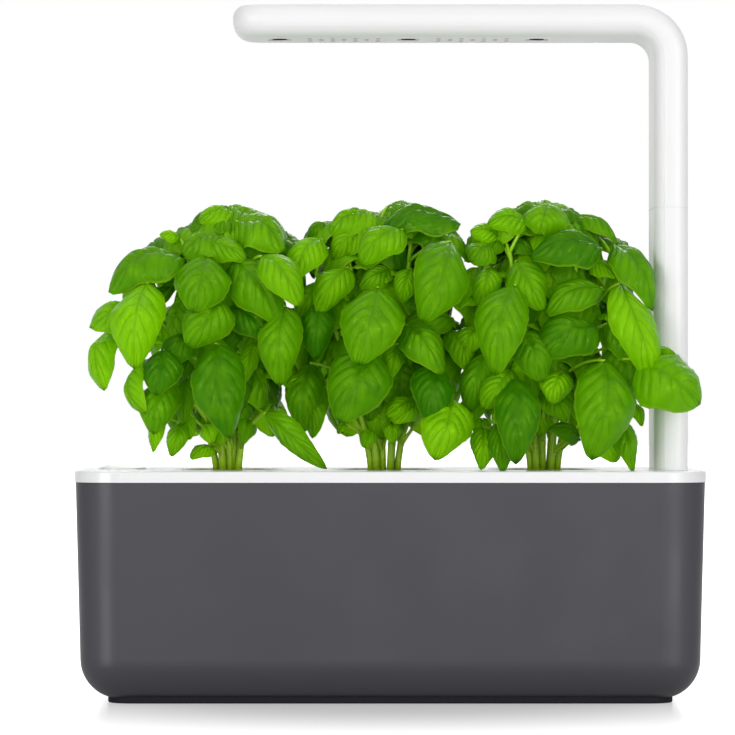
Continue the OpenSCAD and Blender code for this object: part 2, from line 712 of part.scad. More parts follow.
// Wire along a route of points
module wire(route) {
    skin([for (i = [0:len(route) - 1])
        let (d = heading(route, i), n = unit(cross(d, [1, 0.2, 0.1])), s = cross(d, n))
        [for (k = [0:wire_sides - 1])
            route[i] + wire_r * (n * cos(k * 360 / wire_sides) + s * sin(k * 360 / wire_sides))]]);
}

// Wires from the jack's back, down into the wiring space and along to the contacts' tails
module inlet_wires() color("#20242c") {
    for (x = CONTACT_X) wire([
        [inlet_x + x, bay_y1 - jack_l, inlet_z],
        [inlet_x + x, bay_y1 - jack_l - 4, inlet_z],
        [inlet_x + x + 2, bay_y1 - 19, inlet_z - 6],
        [inlet_x + x + 9, bay_y1 - 23, inlet_z - 13],
        [arm_x + x - 8, bay_y1 - 24 + x / 3, housing_low_z + 3],
        [arm_x + x - 2, bay_y1 - 26 + x / 3, housing_low_z + 2.8],
        [arm_x + x, 25, housing_low_z + 3],
        [arm_x + x, 12, wiring_top_z - 2.2],
        [arm_x + x, 0, pocket_floor_z - 3.4],
        [arm_x + x, contact_tail_y + contact_tail_t, pocket_floor_z - 3.4]]);
}

// ---------------------------------------------------------------- extension arm

// Cross-section of the lamp and arm: x runs from the inner to the outer side
module arm_section(inset) {
    t = arm_t / 2 - inset;
    w = arm_w / 2 - inset;
    ri = edge_inner_r - inset;
    ro = edge_outer_r - inset;
    translate([ri - t, -w]) square([2 * t - ri - ro, 2 * w]);
    translate([-t, ri - w]) square([ri, 2 * (w - ri)]);
    translate([t - ro, ro - w]) square([ro, 2 * (w - ro)]);
    for (s = [-1, 1]) {
        translate([ri - t, s * (w - ri)]) circle(ri, $fn = shell_fn);
        translate([t - ro, s * (w - ro)]) circle(ro, $fn = shell_fn);
    }
}

// The two shells meet along the parting line
OUTER = 1;
INNER = -1;

module shell_section(side) {
    intersection() {
        difference() {
            arm_section(0);
            arm_section(shell_wall);
        }
        translate([side == OUTER ? parting_x : parting_x - arm_t, -arm_w]) square([arm_t, 2 * arm_w]);
    }
}

module extension_outer_shell() color("#f6f6f8")
    translate([arm_x, 0, tray_top_z]) linear_extrude(extension_h) shell_section(OUTER);

module extension_inner_shell() color("#f6f6f8")
    translate([arm_x, 0, tray_top_z]) linear_extrude(extension_h) shell_section(INNER);

module extension_plug() color("#e2e2e5") plug(tray_top_z);
module extension_plug_contacts() color("#c8a24a") plug_contact_pair(tray_top_z);

socket_top_floor_z = split_z - tongue_l - contact_room;

module extension_socket() color("#d6d6da") difference() {
    translate([arm_x, 0, socket_top_floor_z - socket_floor_t])
        linear_extrude(split_z - socket_top_floor_z + socket_floor_t) arm_section(shell_wall + plug_root_gap);
    box([arm_x - pocket_t / 2, -pocket_w / 2, socket_top_floor_z],
        [arm_x + pocket_t / 2, pocket_w / 2, split_z + over]);
    tail_slots(socket_top_floor_z);
}

module extension_socket_contacts() color("#c8a24a") socket_contact_pair(split_z);

module extension_wires() color("#20242c") {
    z0 = tray_top_z + plug_root_h + plug_pin_end;
    z1 = socket_top_floor_z - 3.4;
    for (x = CONTACT_X) wire([
        [arm_x + x, 0, z0],
        [arm_x + x, 0, z0 + 8],
        [arm_x + x, 3, z0 + 22],
        [arm_x + x * 0.9, 6, (z0 + z1) / 2],
        [arm_x + x, 4, z1 - 20],
        [arm_x + x, 1, z1 - 6],
        [arm_x + x, -2, z1 - 1],
        [arm_x + x, -4, z1],
        [arm_x + x, contact_tail_y + contact_tail_t, z1]]);
}

// ---------------------------------------------------------------- lamp

// Half profile of the lamp's free end, upward from its lower face
module end_profile(inset) {
    edge_profile(lamp_corner_r - inset, inset, arm_t - inset, edge_outer_r - inset, edge_inner_r - inset,
        0);
}

module end_shell_profile(side) {
    intersection() {
        difference() {
            end_profile(0);
            end_profile(shell_wall);
        }
        translate([-over, side == OUTER ? parting : parting - arm_t]) square([2 * lamp_corner_r, arm_t]);
    }
}

// One shell of the lamp: up the post, round the bend and along to the free end
module lamp_shell(side) {
    corner_x = lamp_end_x + lamp_corner_r;
    corner_y = arm_w / 2 - lamp_corner_r;
    translate([arm_x, 0, split_z]) linear_extrude(bend_z - split_z) shell_section(side);
    translate([bend_x, 0, bend_z]) rotate([90, 0, 0]) rotate_extrude(angle = 90, $fn = shell_fn)
        translate([bend_r - arm_t / 2, 0]) shell_section(side);
    translate([bend_x, 0, lamp_mid_z]) rotate([0, -90, 0])
        linear_extrude(bend_x - corner_x) shell_section(side);
    translate([corner_x, 0, lamp_low_z]) {
        translate([0, corner_y, 0]) rotate([0, 0, 90]) rotate_extrude(angle = 90, $fn = shell_fn)
            end_shell_profile(side);
        translate([0, -corner_y, 0]) rotate([0, 0, 180]) rotate_extrude(angle = 90, $fn = shell_fn)
            end_shell_profile(side);
        translate([0, -corner_y, 0]) rotate([90, 0, 180])
            linear_extrude(2 * corner_y) end_shell_profile(side);
    }
}

window_mid_x = lamp_end_x + window_from_end;
WINDOW_X = [for (i = [-1:1]) window_mid_x + i * window_pitch];
// Each lamp screw stands a little to the right of a window
screw_from_first = 17.4;
screw_from_last = 29.6;
LAMP_SCREW_X = [WINDOW_X[LEFT] + screw_from_first, WINDOW_X[MIDDLE] + window_pitch / 2,
    WINDOW_X[RIGHT] + screw_from_last];
lamp_screw_y = 17.5;
screw_cup_r = 3.6;
screw_cup_h = 4.5;
screw_cup_gap = 0.1;
screw_sink = 0.8;
lamp_screw_head_t = 1.8;
screw_hole_gap = 0.2;
screw_reach = 6;
pilot_l = 8;
screw_cup_z = lamp_low_z + screw_cup_h;
screw_head_z = lamp_low_z + screw_sink;
screw_seat_z = screw_head_z + lamp_screw_head_t;
cover_in_z = lamp_low_z + shell_wall;
lamp_top_in_z = total_h - shell_wall;

module lamp_outer_shell() color("#f6f6f8") difference() {
    union() {
        lamp_shell(OUTER);
        for (x = LAMP_SCREW_X) translate([x, lamp_screw_y, screw_cup_z + screw_cup_gap])
            cylinder(lamp_top_in_z + over / 2 - screw_cup_z - screw_cup_gap, r = boss_r, $fn = round_fn);
    }
    for (x = LAMP_SCREW_X) translate([x, lamp_screw_y, screw_cup_z - over])
        cylinder(pilot_l + over, r = pilot_r, $fn = round_fn);
}

board_rise = 6;
board_z = lamp_low_z + board_rise;
board_t = 1.6;
board_end = 9;
board_bend_gap = 16;
board_x0 = WINDOW_X[LEFT] - board_end;
board_x1 = bend_x - board_bend_gap;
board_y = 13.5;
standoff_r = 2;
STANDOFF_X = [window_mid_x - window_pitch / 2, window_mid_x + window_pitch / 2];
standoff_y = 11.4;
vent_row = 8;
vent_columns = 7;
vent_fn = 24;
timer_depth = 6.1;
timer_rise = 25;
timer_l = 40;
timer_x = arm_x - arm_t / 2 + timer_depth;
timer_z0 = split_z + timer_rise;
timer_z1 = timer_z0 + timer_l;
timer_y = 18;
timer_post_inset = 4;
TIMER_POST_Z = [timer_z0 + timer_post_inset, timer_z1 - timer_post_inset];
timer_post_y = 14;

// Staggered rows of vent holes between two windows
module vents(x) {
    for (i = [0:vent_columns - 1]) {
        rows = i % 2 == 0 ? [-vent_row, 0, vent_row] : [-vent_row / 2, vent_row / 2];
        for (y = rows) translate([x + (i - (vent_columns - 1) / 2) * vent_pitch, y, lamp_low_z - over])
            cylinder(shell_wall + 2 * over, d = vent_d, $fn = vent_fn);
    }
}

baffle_wall = 1.2;
baffle_gap = 0.1;
baffle_recess = 0.4;
baffle_flange = 1.4;
baffle_flange_t = 1;
baffle_top_gap = 0.3;
pane_rise = 3.6;
pane_z = lamp_low_z + pane_rise;
pane_t = 1.2;
pane_gap = 0.05;
// Width of the ledge that each pane lies on
pane_ledge = 0.6;

module lamp_inner_cover() color("#e9e9ec") difference() {
    union() {
        lamp_shell(INNER);
        for (x = STANDOFF_X, s = [-1, 1]) translate([x, s * standoff_y, cover_in_z - over / 2])
            cylinder(board_z - cover_in_z + over / 2, r = standoff_r, $fn = round_fn);
        for (x = LAMP_SCREW_X) translate([x, lamp_screw_y, lamp_low_z + shell_wall / 2])
            cylinder(screw_cup_z - lamp_low_z - shell_wall / 2, r = screw_cup_r, $fn = round_fn);
        for (z = TIMER_POST_Z, s = [-1, 1])
            translate([arm_x - arm_t / 2 + shell_wall - over / 2, s * timer_post_y, z])
            rotate([0, 90, 0]) cylinder(timer_depth - shell_wall + over / 2, r = standoff_r,
                $fn = round_fn);
    }
    for (x = WINDOW_X) translate([x, 0, lamp_low_z - over]) linear_extrude(shell_wall + 2 * over)
        stadium(window_w + 2 * (baffle_wall + baffle_gap), window_l + 2 * (baffle_wall + baffle_gap));
    for (x = STANDOFF_X) vents(x);
    for (x = LAMP_SCREW_X) translate([x, lamp_screw_y, 0]) {
        translate([0, 0, lamp_low_z - over])
            cylinder(screw_seat_z - lamp_low_z + over, r = screw_head_r + screw_hole_gap, $fn = round_fn);
        translate([0, 0, lamp_low_z]) cylinder(arm_t / 2, r = screw_hole_r, $fn = round_fn);
    }
}

module light_baffles() color("#101012") {
    for (x = WINDOW_X) translate([x, 0, 0]) difference() {
        union() {
            translate([0, 0, lamp_low_z + baffle_recess])
                linear_extrude(board_rise - baffle_top_gap - baffle_recess)
                stadium(window_w + 2 * baffle_wall, window_l + 2 * baffle_wall);
            translate([0, 0, cover_in_z]) linear_extrude(baffle_flange_t)
                stadium(window_w + 2 * (baffle_wall + baffle_flange),
                    window_l + 2 * (baffle_wall + baffle_flange));
        }
        translate([0, 0, lamp_low_z])
            linear_extrude(arm_t) stadium(window_w - 2 * pane_ledge, window_l - 2 * pane_ledge);
        translate([0, 0, pane_z]) linear_extrude(arm_t) stadium(window_w, window_l);
    }
}

module light_windows() color("#cfd4da") {
    for (x = WINDOW_X) translate([x, 0, pane_z]) linear_extrude(pane_t)
        stadium(window_w - 2 * pane_gap, window_l - 2 * pane_gap);
}

module light_board() color("#e8efe8") box([board_x0, -board_y, board_z],
    [board_x1, board_y, board_z + board_t]);

emitter_pitch = 4;
EMITTER_Y = [for (i = [-1:1]) i * emitter_pitch];
emitter_w = 2.8;
emitter_t = 0.9;
spreader_inset = 3;
spreader_side = 1;
spreader_t = 1.4;
fin_pitch = 3;
FIN_Y = [for (i = [-3.5:3.5]) i * fin_pitch];
fin_inset = 5;
fin_t = 1;
fin_h = 5;

module light_emitters() color("#f2dc7a") {
    for (x = WINDOW_X, y = EMITTER_Y) translate([x, y, 0])
        box([-emitter_w / 2, -emitter_w / 2, board_z - emitter_t], [emitter_w / 2, emitter_w / 2, board_z]);
}

module heat_spreader() color("#a9adb2") {
    z = board_z + board_t;
    box([board_x0 + spreader_inset, spreader_side - board_y, z],
        [board_x1 - spreader_inset, board_y - spreader_side, z + spreader_t]);
    for (y = FIN_Y)
        box([board_x0 + fin_inset, y - fin_t / 2, z + spreader_t / 2],
            [board_x1 - fin_inset, y + fin_t / 2, z + fin_h]);
}

module timer_board() color("#1f5a34") box([timer_x, -timer_y, timer_z0],
    [timer_x + board_t, timer_y, timer_z1]);

// Square parts on the timer board: y and height of two corners above its end, and thickness
TIMER_PARTS = [
    [[-10, 14], [-2, 22], 1.2],
    [[-13, 27], [-6, 34], 3.4],
    [[3, 27], [9, 32], 2.6],
    [[-8, 2], [8, 7], 3]];
capacitor_y = 8;
capacitor_rise = 18;
capacitor_r = 3.2;
capacitor_h = 4.4;

module timer_board_parts() color("#17181a") translate([timer_x + board_t, 0, timer_z0]) {
    for (p = TIMER_PARTS) box([0, each p[0]], [p[2], each p[1]]);
    translate([0, capacitor_y, capacitor_rise]) rotate([0, 90, 0])
        cylinder(capacitor_h, r = capacitor_r, $fn = round_fn);
}

// Wires from the plug's pins to the timer board, and on round the bend to the light board
module lamp_wires() color("#20242c") {
    z0 = split_z + plug_root_h + plug_pin_end;
    board_x = timer_x + board_t / 2;
    light_z = board_z + board_t / 2;
    for (x = CONTACT_X) {
        wire([
            [arm_x + x, 0, z0],
            [arm_x + x, 0, z0 + 4],
            [arm_x + x * 0.7, x, z0 + 8],
            [board_x, 2 * x, z0 + 11],
            [board_x, 2 * x, timer_z0 - 1],
            [board_x, 2 * x, timer_z0]]);
        wire([
            [board_x, 2 * x, timer_z1],
            [board_x, 2 * x, timer_z1 + 4],
            [bend_x + 14.6, 2 * x, bend_z + 3.5],
            [bend_x + 9, 2 * x, bend_z + 10.5],
            [bend_x - 1, 2 * x, light_z - 1],
            [bend_x - 10, 2 * x, light_z],
            [board_x1 + 1, 2 * x, light_z],
            [board_x1, 2 * x, light_z]]);
    }
}

module lamp_plug() color("#e2e2e5") plug(split_z);
module lamp_plug_contacts() color("#c8a24a") plug_contact_pair(split_z);

module lamp_screws() color("#9a9a9e") {
    for (x = LAMP_SCREW_X) translate([x, lamp_screw_y, 0])
        screw(screw_head_z, screw_seat_z, screw_cup_z + screw_reach);
}

// ---------------------------------------------------------------- basil plants

// Soil height that the plants' heights below are counted with; a plant moves up or down with its soil
plant_soil_z = 109.7;
// Distance between pods at which the plants have their full spread; they crowd together on closer pods
plant_pitch = 76.5;

// Stems of a plant: foot [x, y] from the pod's axis, then top [x, y, z].
// Leaves: stem, base, tip, width, and the way the upper face looks. X counts from the pod's axis.
STEMS_LEFT = [
    [[-5.5, -2], [-38, -13, 202]], [[-2.5, -5], [-19, -20, 214]], [[0.5, -3], [-5, -14, 222]],
    [[2.5, -1], [9, -15, 226]], [[5, -3], [21, -12, 196]], [[-0.5, 4], [-9, 22, 216]],
    [[2.5, 5], [12, 26, 206]]];
LEAVES_LEFT = [
    [0, [-24, -24, 212], [-58, -28, 201], 32, [-0.25, -0.6, 0.75]],
    [0, [-37, -36, 200], [-44, -56, 162], 27, [0, -1, 0.35]],
    [0, [-43, -20, 186], [-64, -36, 182], 23, [-0.5, -0.8, 0.3]],
    [0, [-51, -16, 180], [-61, -36, 152], 19, [-0.7, -0.7, 0.2]],
    [0, [-41, -30, 163], [-42, -46, 139], 15, [-0.8, -0.6, 0]],
    [1, [-30, -34, 168], [-33, -50, 149], 19, [-0.1, -1, 0.3]],
    [1, [-29, -26, 154], [-34, -46, 131], 19, [0, -1, 0.2]],
    [1, [-32, -18, 136], [-36, -30, 121], 8, [-0.3, -1, 0.2]],
    [1, [-22, -22, 133], [-26, -34, 119], 10, [0, -1, 0.3]],
    [1, [-20, -14, 137], [-18, -26, 127], 9, [0, -1, 0.4]],
    [2, [-7, -38, 171], [2, -58, 129], 29, [0.1, -1, 0.25]],
    [2, [-10, -30, 213], [-15, -50, 189], 26, [0, -1, 0.35]],
    [2, [-3, -28, 193], [-17, -46, 172], 22, [0, -1, 0.3]],
    [2, [-3, -6, 221], [-22, -10, 217], 22, [-0.2, -0.6, 0.8]],
    [2, [4, -4, 234], [-14, -12, 233], 14, [0, -0.6, 0.9]],
    [3, [5, -8, 231], [28, -20, 219], 27, [0.25, -0.7, 0.6]],
    [3, [-10, -24, 217], [9, -34, 213], 14, [0, -0.8, 0.6]],
    [3, [3, -26, 211], [25, -42, 184], 25, [0.1, -1, 0.4]],
    [3, [17, -36, 213], [36, -52, 192], 19, [0.2, -1, 0.4]],
    [3, [1, -20, 189], [21, -34, 174], 17, [0.1, -0.9, 0.4]],
    [4, [28, -30, 189], [25, -46, 153], 20, [0, -1, 0.2]],
    [4, [13, -18, 172], [10, -28, 154], 9, [0.2, -1, 0.2]],
    [1, [-19, -22, 176], [-28, -38, 163], 16, [0, -1, 0.3]],
    [2, [-19, -20, 155], [-20, -32, 134], 11, [0, -1, 0.2]],
    [1, [-23, -10, 222], [-32, -14, 225], 7, [0, -0.8, 0.6]],
    [2, [-11, -18, 132], [-7, -28, 125], 9, [0, -1, 0.4]],
    [1, [-7, -14, 121], [-17, -24, 118], 9, [-0.2, -0.8, 0.5]],
    [3, [-1, -12, 131], [-4, -26, 124], 10, [0, -1, 0.3]],
    [4, [11, -14, 135], [8, -28, 125], 9, [0, -1, 0.3]],
    [4, [29, -42, 139], [46, -58, 112.5], 15, [-0.6, -0.8, -0.1]]];

STEMS_MIDDLE = [
    [[-7, -2], [-34, -12, 206]], [[-4.5, -4], [-20, -14, 224]], [[-1.5, -2], [-5, -14, 224]],
    [[2, -4], [13, -14, 228]], [[5.5, -1], [27, -12, 200]], [[-2, 4], [-12, 24, 214]],
    [[2.5, 5], [13, 26, 206]]];
LEAVES_MIDDLE = [
    [0, [-31, -16, 222], [-44, -30, 205], 18, [-0.2, -0.9, 0.4]],
    [1, [-27, -2, 229], [-38, -6, 224], 10, [-0.2, -0.7, 0.7]],
    [1, [-8, -4, 234], [-28, -12, 227], 17, [-0.1, -0.6, 0.8]],
    [3, [35, -6, 229], [-3, -10, 230], 23, [0, -0.55, 0.85]],
    [1, [-11, -8, 227], [-26, -16, 213], 14, [-0.1, -0.9, 0.4]],
    [2, [8, -20, 227], [-12, -34, 212], 19, [-0.1, -0.9, 0.5]],
    [3, [31, -30, 220], [18, -50, 184], 25, [0.1, -1, 0.3]],
    [2, [-1, -36, 198], [-12, -58, 164], 29, [-0.05, -1, 0.3]],
    [1, [-6, -32, 167], [-20, -54, 135], 29, [-0.1, -1, 0.25]],
    [0, [-33, -22, 191], [-34, -36, 166], 17, [-0.2, -1, 0.2]],
    [0, [-18, -20, 208], [-32, -34, 187], 16, [0, -1, 0.3]],
    [2, [3, -16, 207], [-13, -24, 200], 13, [0, -0.8, 0.6]],
    [3, [12, -22, 207], [7, -34, 192], 11, [0, -1, 0.3]],
    [3, [33, -14, 182], [10, -22, 184], 14, [0, -0.8, 0.6]],
    [4, [10, -26, 180], [27, -46, 160], 20, [0.2, -1, 0.5]],
    [2, [6, -24, 171], [2, -36, 156], 10, [0, -1, 0.2]],
    [4, [25, -28, 162], [22, -46, 135], 19, [0.1, -1, 0.2]],
    [4, [32, -30, 144], [26, -52, 117], 23, [0.1, -1, 0.2]],
    [0, [-30, -14, 151], [-36, -28, 128], 13, [-0.2, -1, 0.2]],
    [0, [-35, -16, 158], [-47, -26, 144], 13, [-0.2, -0.9, 0.4]],
    [3, [14, -20, 144], [1, -30, 138], 10, [0, -1, 0.3]],
    [2, [3, -16, 134], [3, -28, 125], 9, [0, -1, 0.4]],
    [2, [-6, -14, 129], [-10, -26, 123], 9, [0, -1, 0.4]],
    [1, [-19, -12, 132], [-23, -18, 129], 5, [0, -0.7, 0.7]],
    [4, [16, -18, 143], [4, -30, 135], 12, [0, -1, 0.3]]];

STEMS_RIGHT = [
    [[-6, -2], [-30, -12, 204]], [[-3.5, -4], [-17, -17, 216]], [[-0.5, -2], [0, -12, 230]],
    [[3.5, -4], [17, -17, 220]], [[6.5, -2], [33, -14, 214]], [[-1.5, 5], [-12, 24, 212]],
    [[3, 5], [14, 26, 206]]];
LEAVES_RIGHT = [
    [2, [1, -4, 240], [-2, -16, 226], 22, [0, -0.9, 0.5]],
    [1, [-8, -8, 230], [-27, -14, 231], 13, [-0.1, -0.8, 0.6]],
    [0, [-22, -12, 223], [-35, -16, 227], 12, [-0.1, -0.8, 0.6]],
    [0, [-26, -16, 218], [-35, -28, 212], 15, [-0.1, -1, 0.4]],
    [3, [26, -18, 216], [-7, -26, 217], 24, [0, -0.65, 0.75]],
    [3, [13, -2, 232], [37, -8, 223], 13, [0.1, -0.5, 0.9]],
    [4, [32, -16, 219], [50, -38, 191], 19, [0.45, -0.8, 0.4]],
    [4, [33, -28, 200], [49, -50, 155], 21, [0.25, -1, 0.3]],
    [4, [44, -42, 162], [74, -52, 148], 26, [0.1, -1, 0.5]],
    [4, [52, -36, 167], [61, -40, 167], 5, [0, -1, 0.3]],
    [3, [30, -36, 162], [25, -58, 116], 30, [0.1, -1, 0.2]],
    [3, [24, -26, 177], [2, -42, 167], 23, [0, -0.9, 0.5]],
    [3, [26, -20, 198], [2, -34, 187], 18, [0, -0.8, 0.6]],
    [1, [-15, -38, 199], [-26, -58, 156], 25, [-0.1, -1, 0.25]],
    [2, [-12, -32, 177], [-2, -46, 155], 19, [0.1, -1, 0.3]],
    [1, [-16, -28, 159], [-30, -40, 142], 16, [-0.1, -1, 0.3]],
    [1, [-14, -34, 155], [-14, -56, 117], 21, [0, -1, 0.2]],
    [2, [8, -26, 158], [3, -38, 144], 15, [0, -1, 0.2]],
    [2, [0, -20, 147], [10, -30, 136], 13, [0.1, -1, 0.3]],
    [1, [-30, -24, 131], [-31, -38, 113], 12, [0, -1, 0.2]],
    [1, [-24, -26, 133], [-21, -44, 112.5], 13, [0, -1, 0.1]],
    [3, [17, -18, 125], [3, -26, 132], 12, [0, -0.8, 0.6]],
    [4, [36, -26, 134], [42, -42, 112.5], 11, [0.2, -1, 0.2]],
    [4, [41, -16, 143], [47, -24, 133], 7, [0.3, -1, 0.3]],
    [3, [26, -22, 133], [33, -38, 117], 16, [0, -1, 0.3]],
    [0, [-27, -20, 208], [-32, -32, 191], 13, [-0.1, -1, 0.3]],
    [1, [-14, -24, 211], [-1, -38, 189], 20, [0.1, -1, 0.4]],
    [4, [22, -14, 209], [34, -24, 205], 11, [0.1, -0.8, 0.6]],
    [1, [-22, -8, 221], [-28, -20, 214], 9, [-0.1, -0.9, 0.4]],
    [1, [-17, -8, 219], [-6, -18, 217], 11, [0.1, -0.8, 0.5]],
    [0, [-30, -14, 135], [-32, -26, 128], 9, [0, -0.9, 0.5]],
    [4, [30, -22, 181], [46, -36, 163], 18, [0.2, -1, 0.4]],
    [0, [-30, -14, 180], [-40, -24, 168], 14, [-0.2, -1, 0.3]]];

// Rings of leaves round the back of each plant: height, reach, and angles from +X
BACK_RINGS = [
    [232, 34, [60, 115]],
    [216, 46, [45, 90, 135]],
    [192, 58, [68, 112]],
    [170, 52, [50, 90, 130]],
    [146, 50, [64, 114]]];
back_base_share = 0.34;
back_drop_share = 0.3;
back_width_share = 0.62;
back_stem_split = 90;
BACK_STEM_RIGHT = 6;
BACK_STEM_LEFT = 5;

// Where along its length a leaf has a ring of points, and the ring's places across it
LEAF_STATIONS = [0.14, 0.38, 0.64, 0.87];
LEAF_RING = [[-1, 0], [-0.5, 1], [0, 1], [0.5, 1], [1, 0], [0.5, -1], [0, -1], [-0.5, -1]];
stalk_drop = 9;
stem_clear = 6;
stem_parts = 3;
stem_lean = 1.3;
knot_fn = 5;

// Half width of a leaf along its length, as a share of its greatest half width
function leaf_outline(u) = pow(sin(180 * pow(u, 0.8)), 0.7);

function leaf_ring(base, tip, w, face, u) =
    let (chord = tip - base, side = unit(cross(chord, face)), up = unit(cross(side, chord)),
        half = w / 2 * leaf_outline(u), rise = leaf_arch * norm(chord) * 4 * u * (1 - u))
    [for (p = LEAF_RING) base + u * chord + side * half * p[0]
        + up * (rise - leaf_curl * w * p[0] * p[0] * leaf_outline(u) + p[1] * leaf_t / 2)];

// One arched leaf with a point at each end
module leaf(base, tip, w, face) {
    rings = [for (u = LEAF_STATIONS) leaf_ring(base, tip, w, face, u)];
    n = len(LEAF_RING);
    m = len(rings);
    last = 1 + m * n;
    sides = [for (i = [0:m - 2], k = [0:n - 1])
        let (a = 1 + i * n + k, a2 = 1 + i * n + (k + 1) % n) each [[a, a + n, a2 + n], [a, a2 + n, a2]]];
    ends = [for (k = [0:n - 1]) let (k2 = (k + 1) % n, a = 1 + (m - 1) * n)
        each [[0, 1 + k, 1 + k2], [a + k, last, a + k2]]];
    polyhedron([base, for (ring = rings) each ring, tip], concat(sides, ends));
}

// Point of a stem at a height: it leaves its foot upright and leans out more and more
function stem_point(stem, z) =
    let (q = pow((z - plant_soil_z) / (stem[1][2] - plant_soil_z), stem_lean))
    [stem[0][0] + q * (stem[1][0] - stem[0][0]), stem[0][1] + q * (stem[1][1] - stem[0][1]), z];

module limb(a, b, ra, rb) hull() {
    translate(a) sphere(ra, $fn = knot_fn);
    translate(b) sphere(rb, $fn = knot_fn);
}

module stem(s) {
    h = (s[1][2] - plant_soil_z) / stem_parts;
    for (i = [0:stem_parts - 1])
        limb(stem_point(s, plant_soil_z + i * h), stem_point(s, plant_soil_z + (i + 1) * h),
            stem_r + (stem_top_r - stem_r) * i / stem_parts,
            stem_r + (stem_top_r - stem_r) * (i + 1) / stem_parts);
}

module stalked_leaf(s, base, tip, w, face) {
    root_z = max(plant_soil_z + stem_clear, min(base[2] - stalk_drop, s[1][2] - 1));
    limb(stem_point(s, root_z), base, stalk_r, stalk_r);
    leaf(base, tip, w, face);
}

module back_leaf(stems, z, reach, angle) {
    out = [cos(angle), sin(angle), 0];
    base = [0, 0, z] + back_base_share * reach * out;
    tip = [0, 0, z - back_drop_share * reach] + reach * out;
    stalked_leaf(stems[angle < back_stem_split ? BACK_STEM_RIGHT : BACK_STEM_LEFT], base, tip,
        back_width_share * norm(tip - base), [out[0] / 2, out[1] / 2, 1]);
}

module basil(x, stems, leaves) color("#4f9a12") difference() {
    translate([x, 0, soil_top_z - plant_soil_z]) scale([min(1, pod_pitch / plant_pitch), 1, 1]) {
        for (s = stems) stem(s);
        for (row = leaves) stalked_leaf(stems[row[0]], row[1], row[2], row[3], row[4]);
        for (ring = BACK_RINGS, angle = ring[2]) back_leaf(stems, ring[0], ring[1], angle);
    }
    box([x - pod_pitch, -tub_d, soil_low_z], [x + pod_pitch, tub_d, soil_top_z]);
}

module basil_left() basil(POD_X[LEFT], STEMS_LEFT, LEAVES_LEFT);
module basil_middle() basil(POD_X[MIDDLE], STEMS_MIDDLE, LEAVES_MIDDLE);
module basil_right() basil(POD_X[RIGHT], STEMS_RIGHT, LEAVES_RIGHT);

tub();
base_plinth();
anti_slip_pads();
tray();
float_cage();
cup_left();
cup_middle();
cup_right();
wick_left();
wick_middle();
wick_right();
socket_housing();
socket_contacts();
socket_cover();
socket_screws();
inlet_housing();
power_jack();
jack_pin();
inlet_wires();
float_cap();
float_body();
pod_shell_left();
pod_shell_middle();
pod_shell_right();
growing_medium_left();
growing_medium_middle();
growing_medium_right();
pod_label_left();
pod_label_middle();
pod_label_right();
basil_left();
basil_middle();
basil_right();
extension_outer_shell();
extension_inner_shell();
extension_plug();
extension_plug_contacts();
extension_socket();
extension_socket_contacts();
extension_wires();
lamp_outer_shell();
lamp_inner_cover();
light_baffles();
light_windows();
light_board();
light_emitters();
heat_spreader();
timer_board();
timer_board_parts();
lamp_wires();
lamp_plug();
lamp_plug_contacts();
lamp_screws();
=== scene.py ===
"""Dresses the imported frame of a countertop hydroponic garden: finishes, plants, felt and fine lines.

Every length below is in millimetres unless it says otherwise, in the frame of the CAD model:
+X towards the lamp's post, -Y to the front, +Z up, zero at the centre of the plinth's underside.
Inside the finishes lengths are in metres, and scales are in waves or cells per metre.
"""

import logging
import math
import random
from dataclasses import dataclass, field
from enum import Enum
from typing import Callable, Iterable, Sequence

import bpy
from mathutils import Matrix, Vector, noise


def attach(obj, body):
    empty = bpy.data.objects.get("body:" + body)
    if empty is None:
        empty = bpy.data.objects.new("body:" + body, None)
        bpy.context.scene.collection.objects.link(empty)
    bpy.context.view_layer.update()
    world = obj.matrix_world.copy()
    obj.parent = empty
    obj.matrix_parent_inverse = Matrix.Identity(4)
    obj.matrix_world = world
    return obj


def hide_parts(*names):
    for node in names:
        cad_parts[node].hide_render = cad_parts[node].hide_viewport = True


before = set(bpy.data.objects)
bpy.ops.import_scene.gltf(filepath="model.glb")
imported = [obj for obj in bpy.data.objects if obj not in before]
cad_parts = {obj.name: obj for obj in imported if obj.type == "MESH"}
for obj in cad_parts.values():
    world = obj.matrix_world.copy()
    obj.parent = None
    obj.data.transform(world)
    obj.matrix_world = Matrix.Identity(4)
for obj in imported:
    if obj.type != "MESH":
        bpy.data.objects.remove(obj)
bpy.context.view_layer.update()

MM = 0.001
FULL_TURN = 2 * math.pi
LEAF_MAP = "Leaf"
GROWTH_VALUES = "growth"
VEIN_PAIRS = 6.0
VEIN_SWEEP = 0.3
log = logging.getLogger("garden")

Colour = tuple[float, float, float]
Point = tuple[float, float, float]
Place = tuple[float, float]
Material = bpy.types.Material
Output = bpy.types.NodeSocket


class Side(Enum):
    """The three pods, named along the tray."""

    LEFT = "left"
    MIDDLE = "middle"
    RIGHT = "right"


class Socket(Enum):
    """Kinds of socket that a node group's interface offers."""

    VALUE = "NodeSocketFloat"
    VECTOR = "NodeSocketVector"


# ------------------------------------------------------------------ node trees


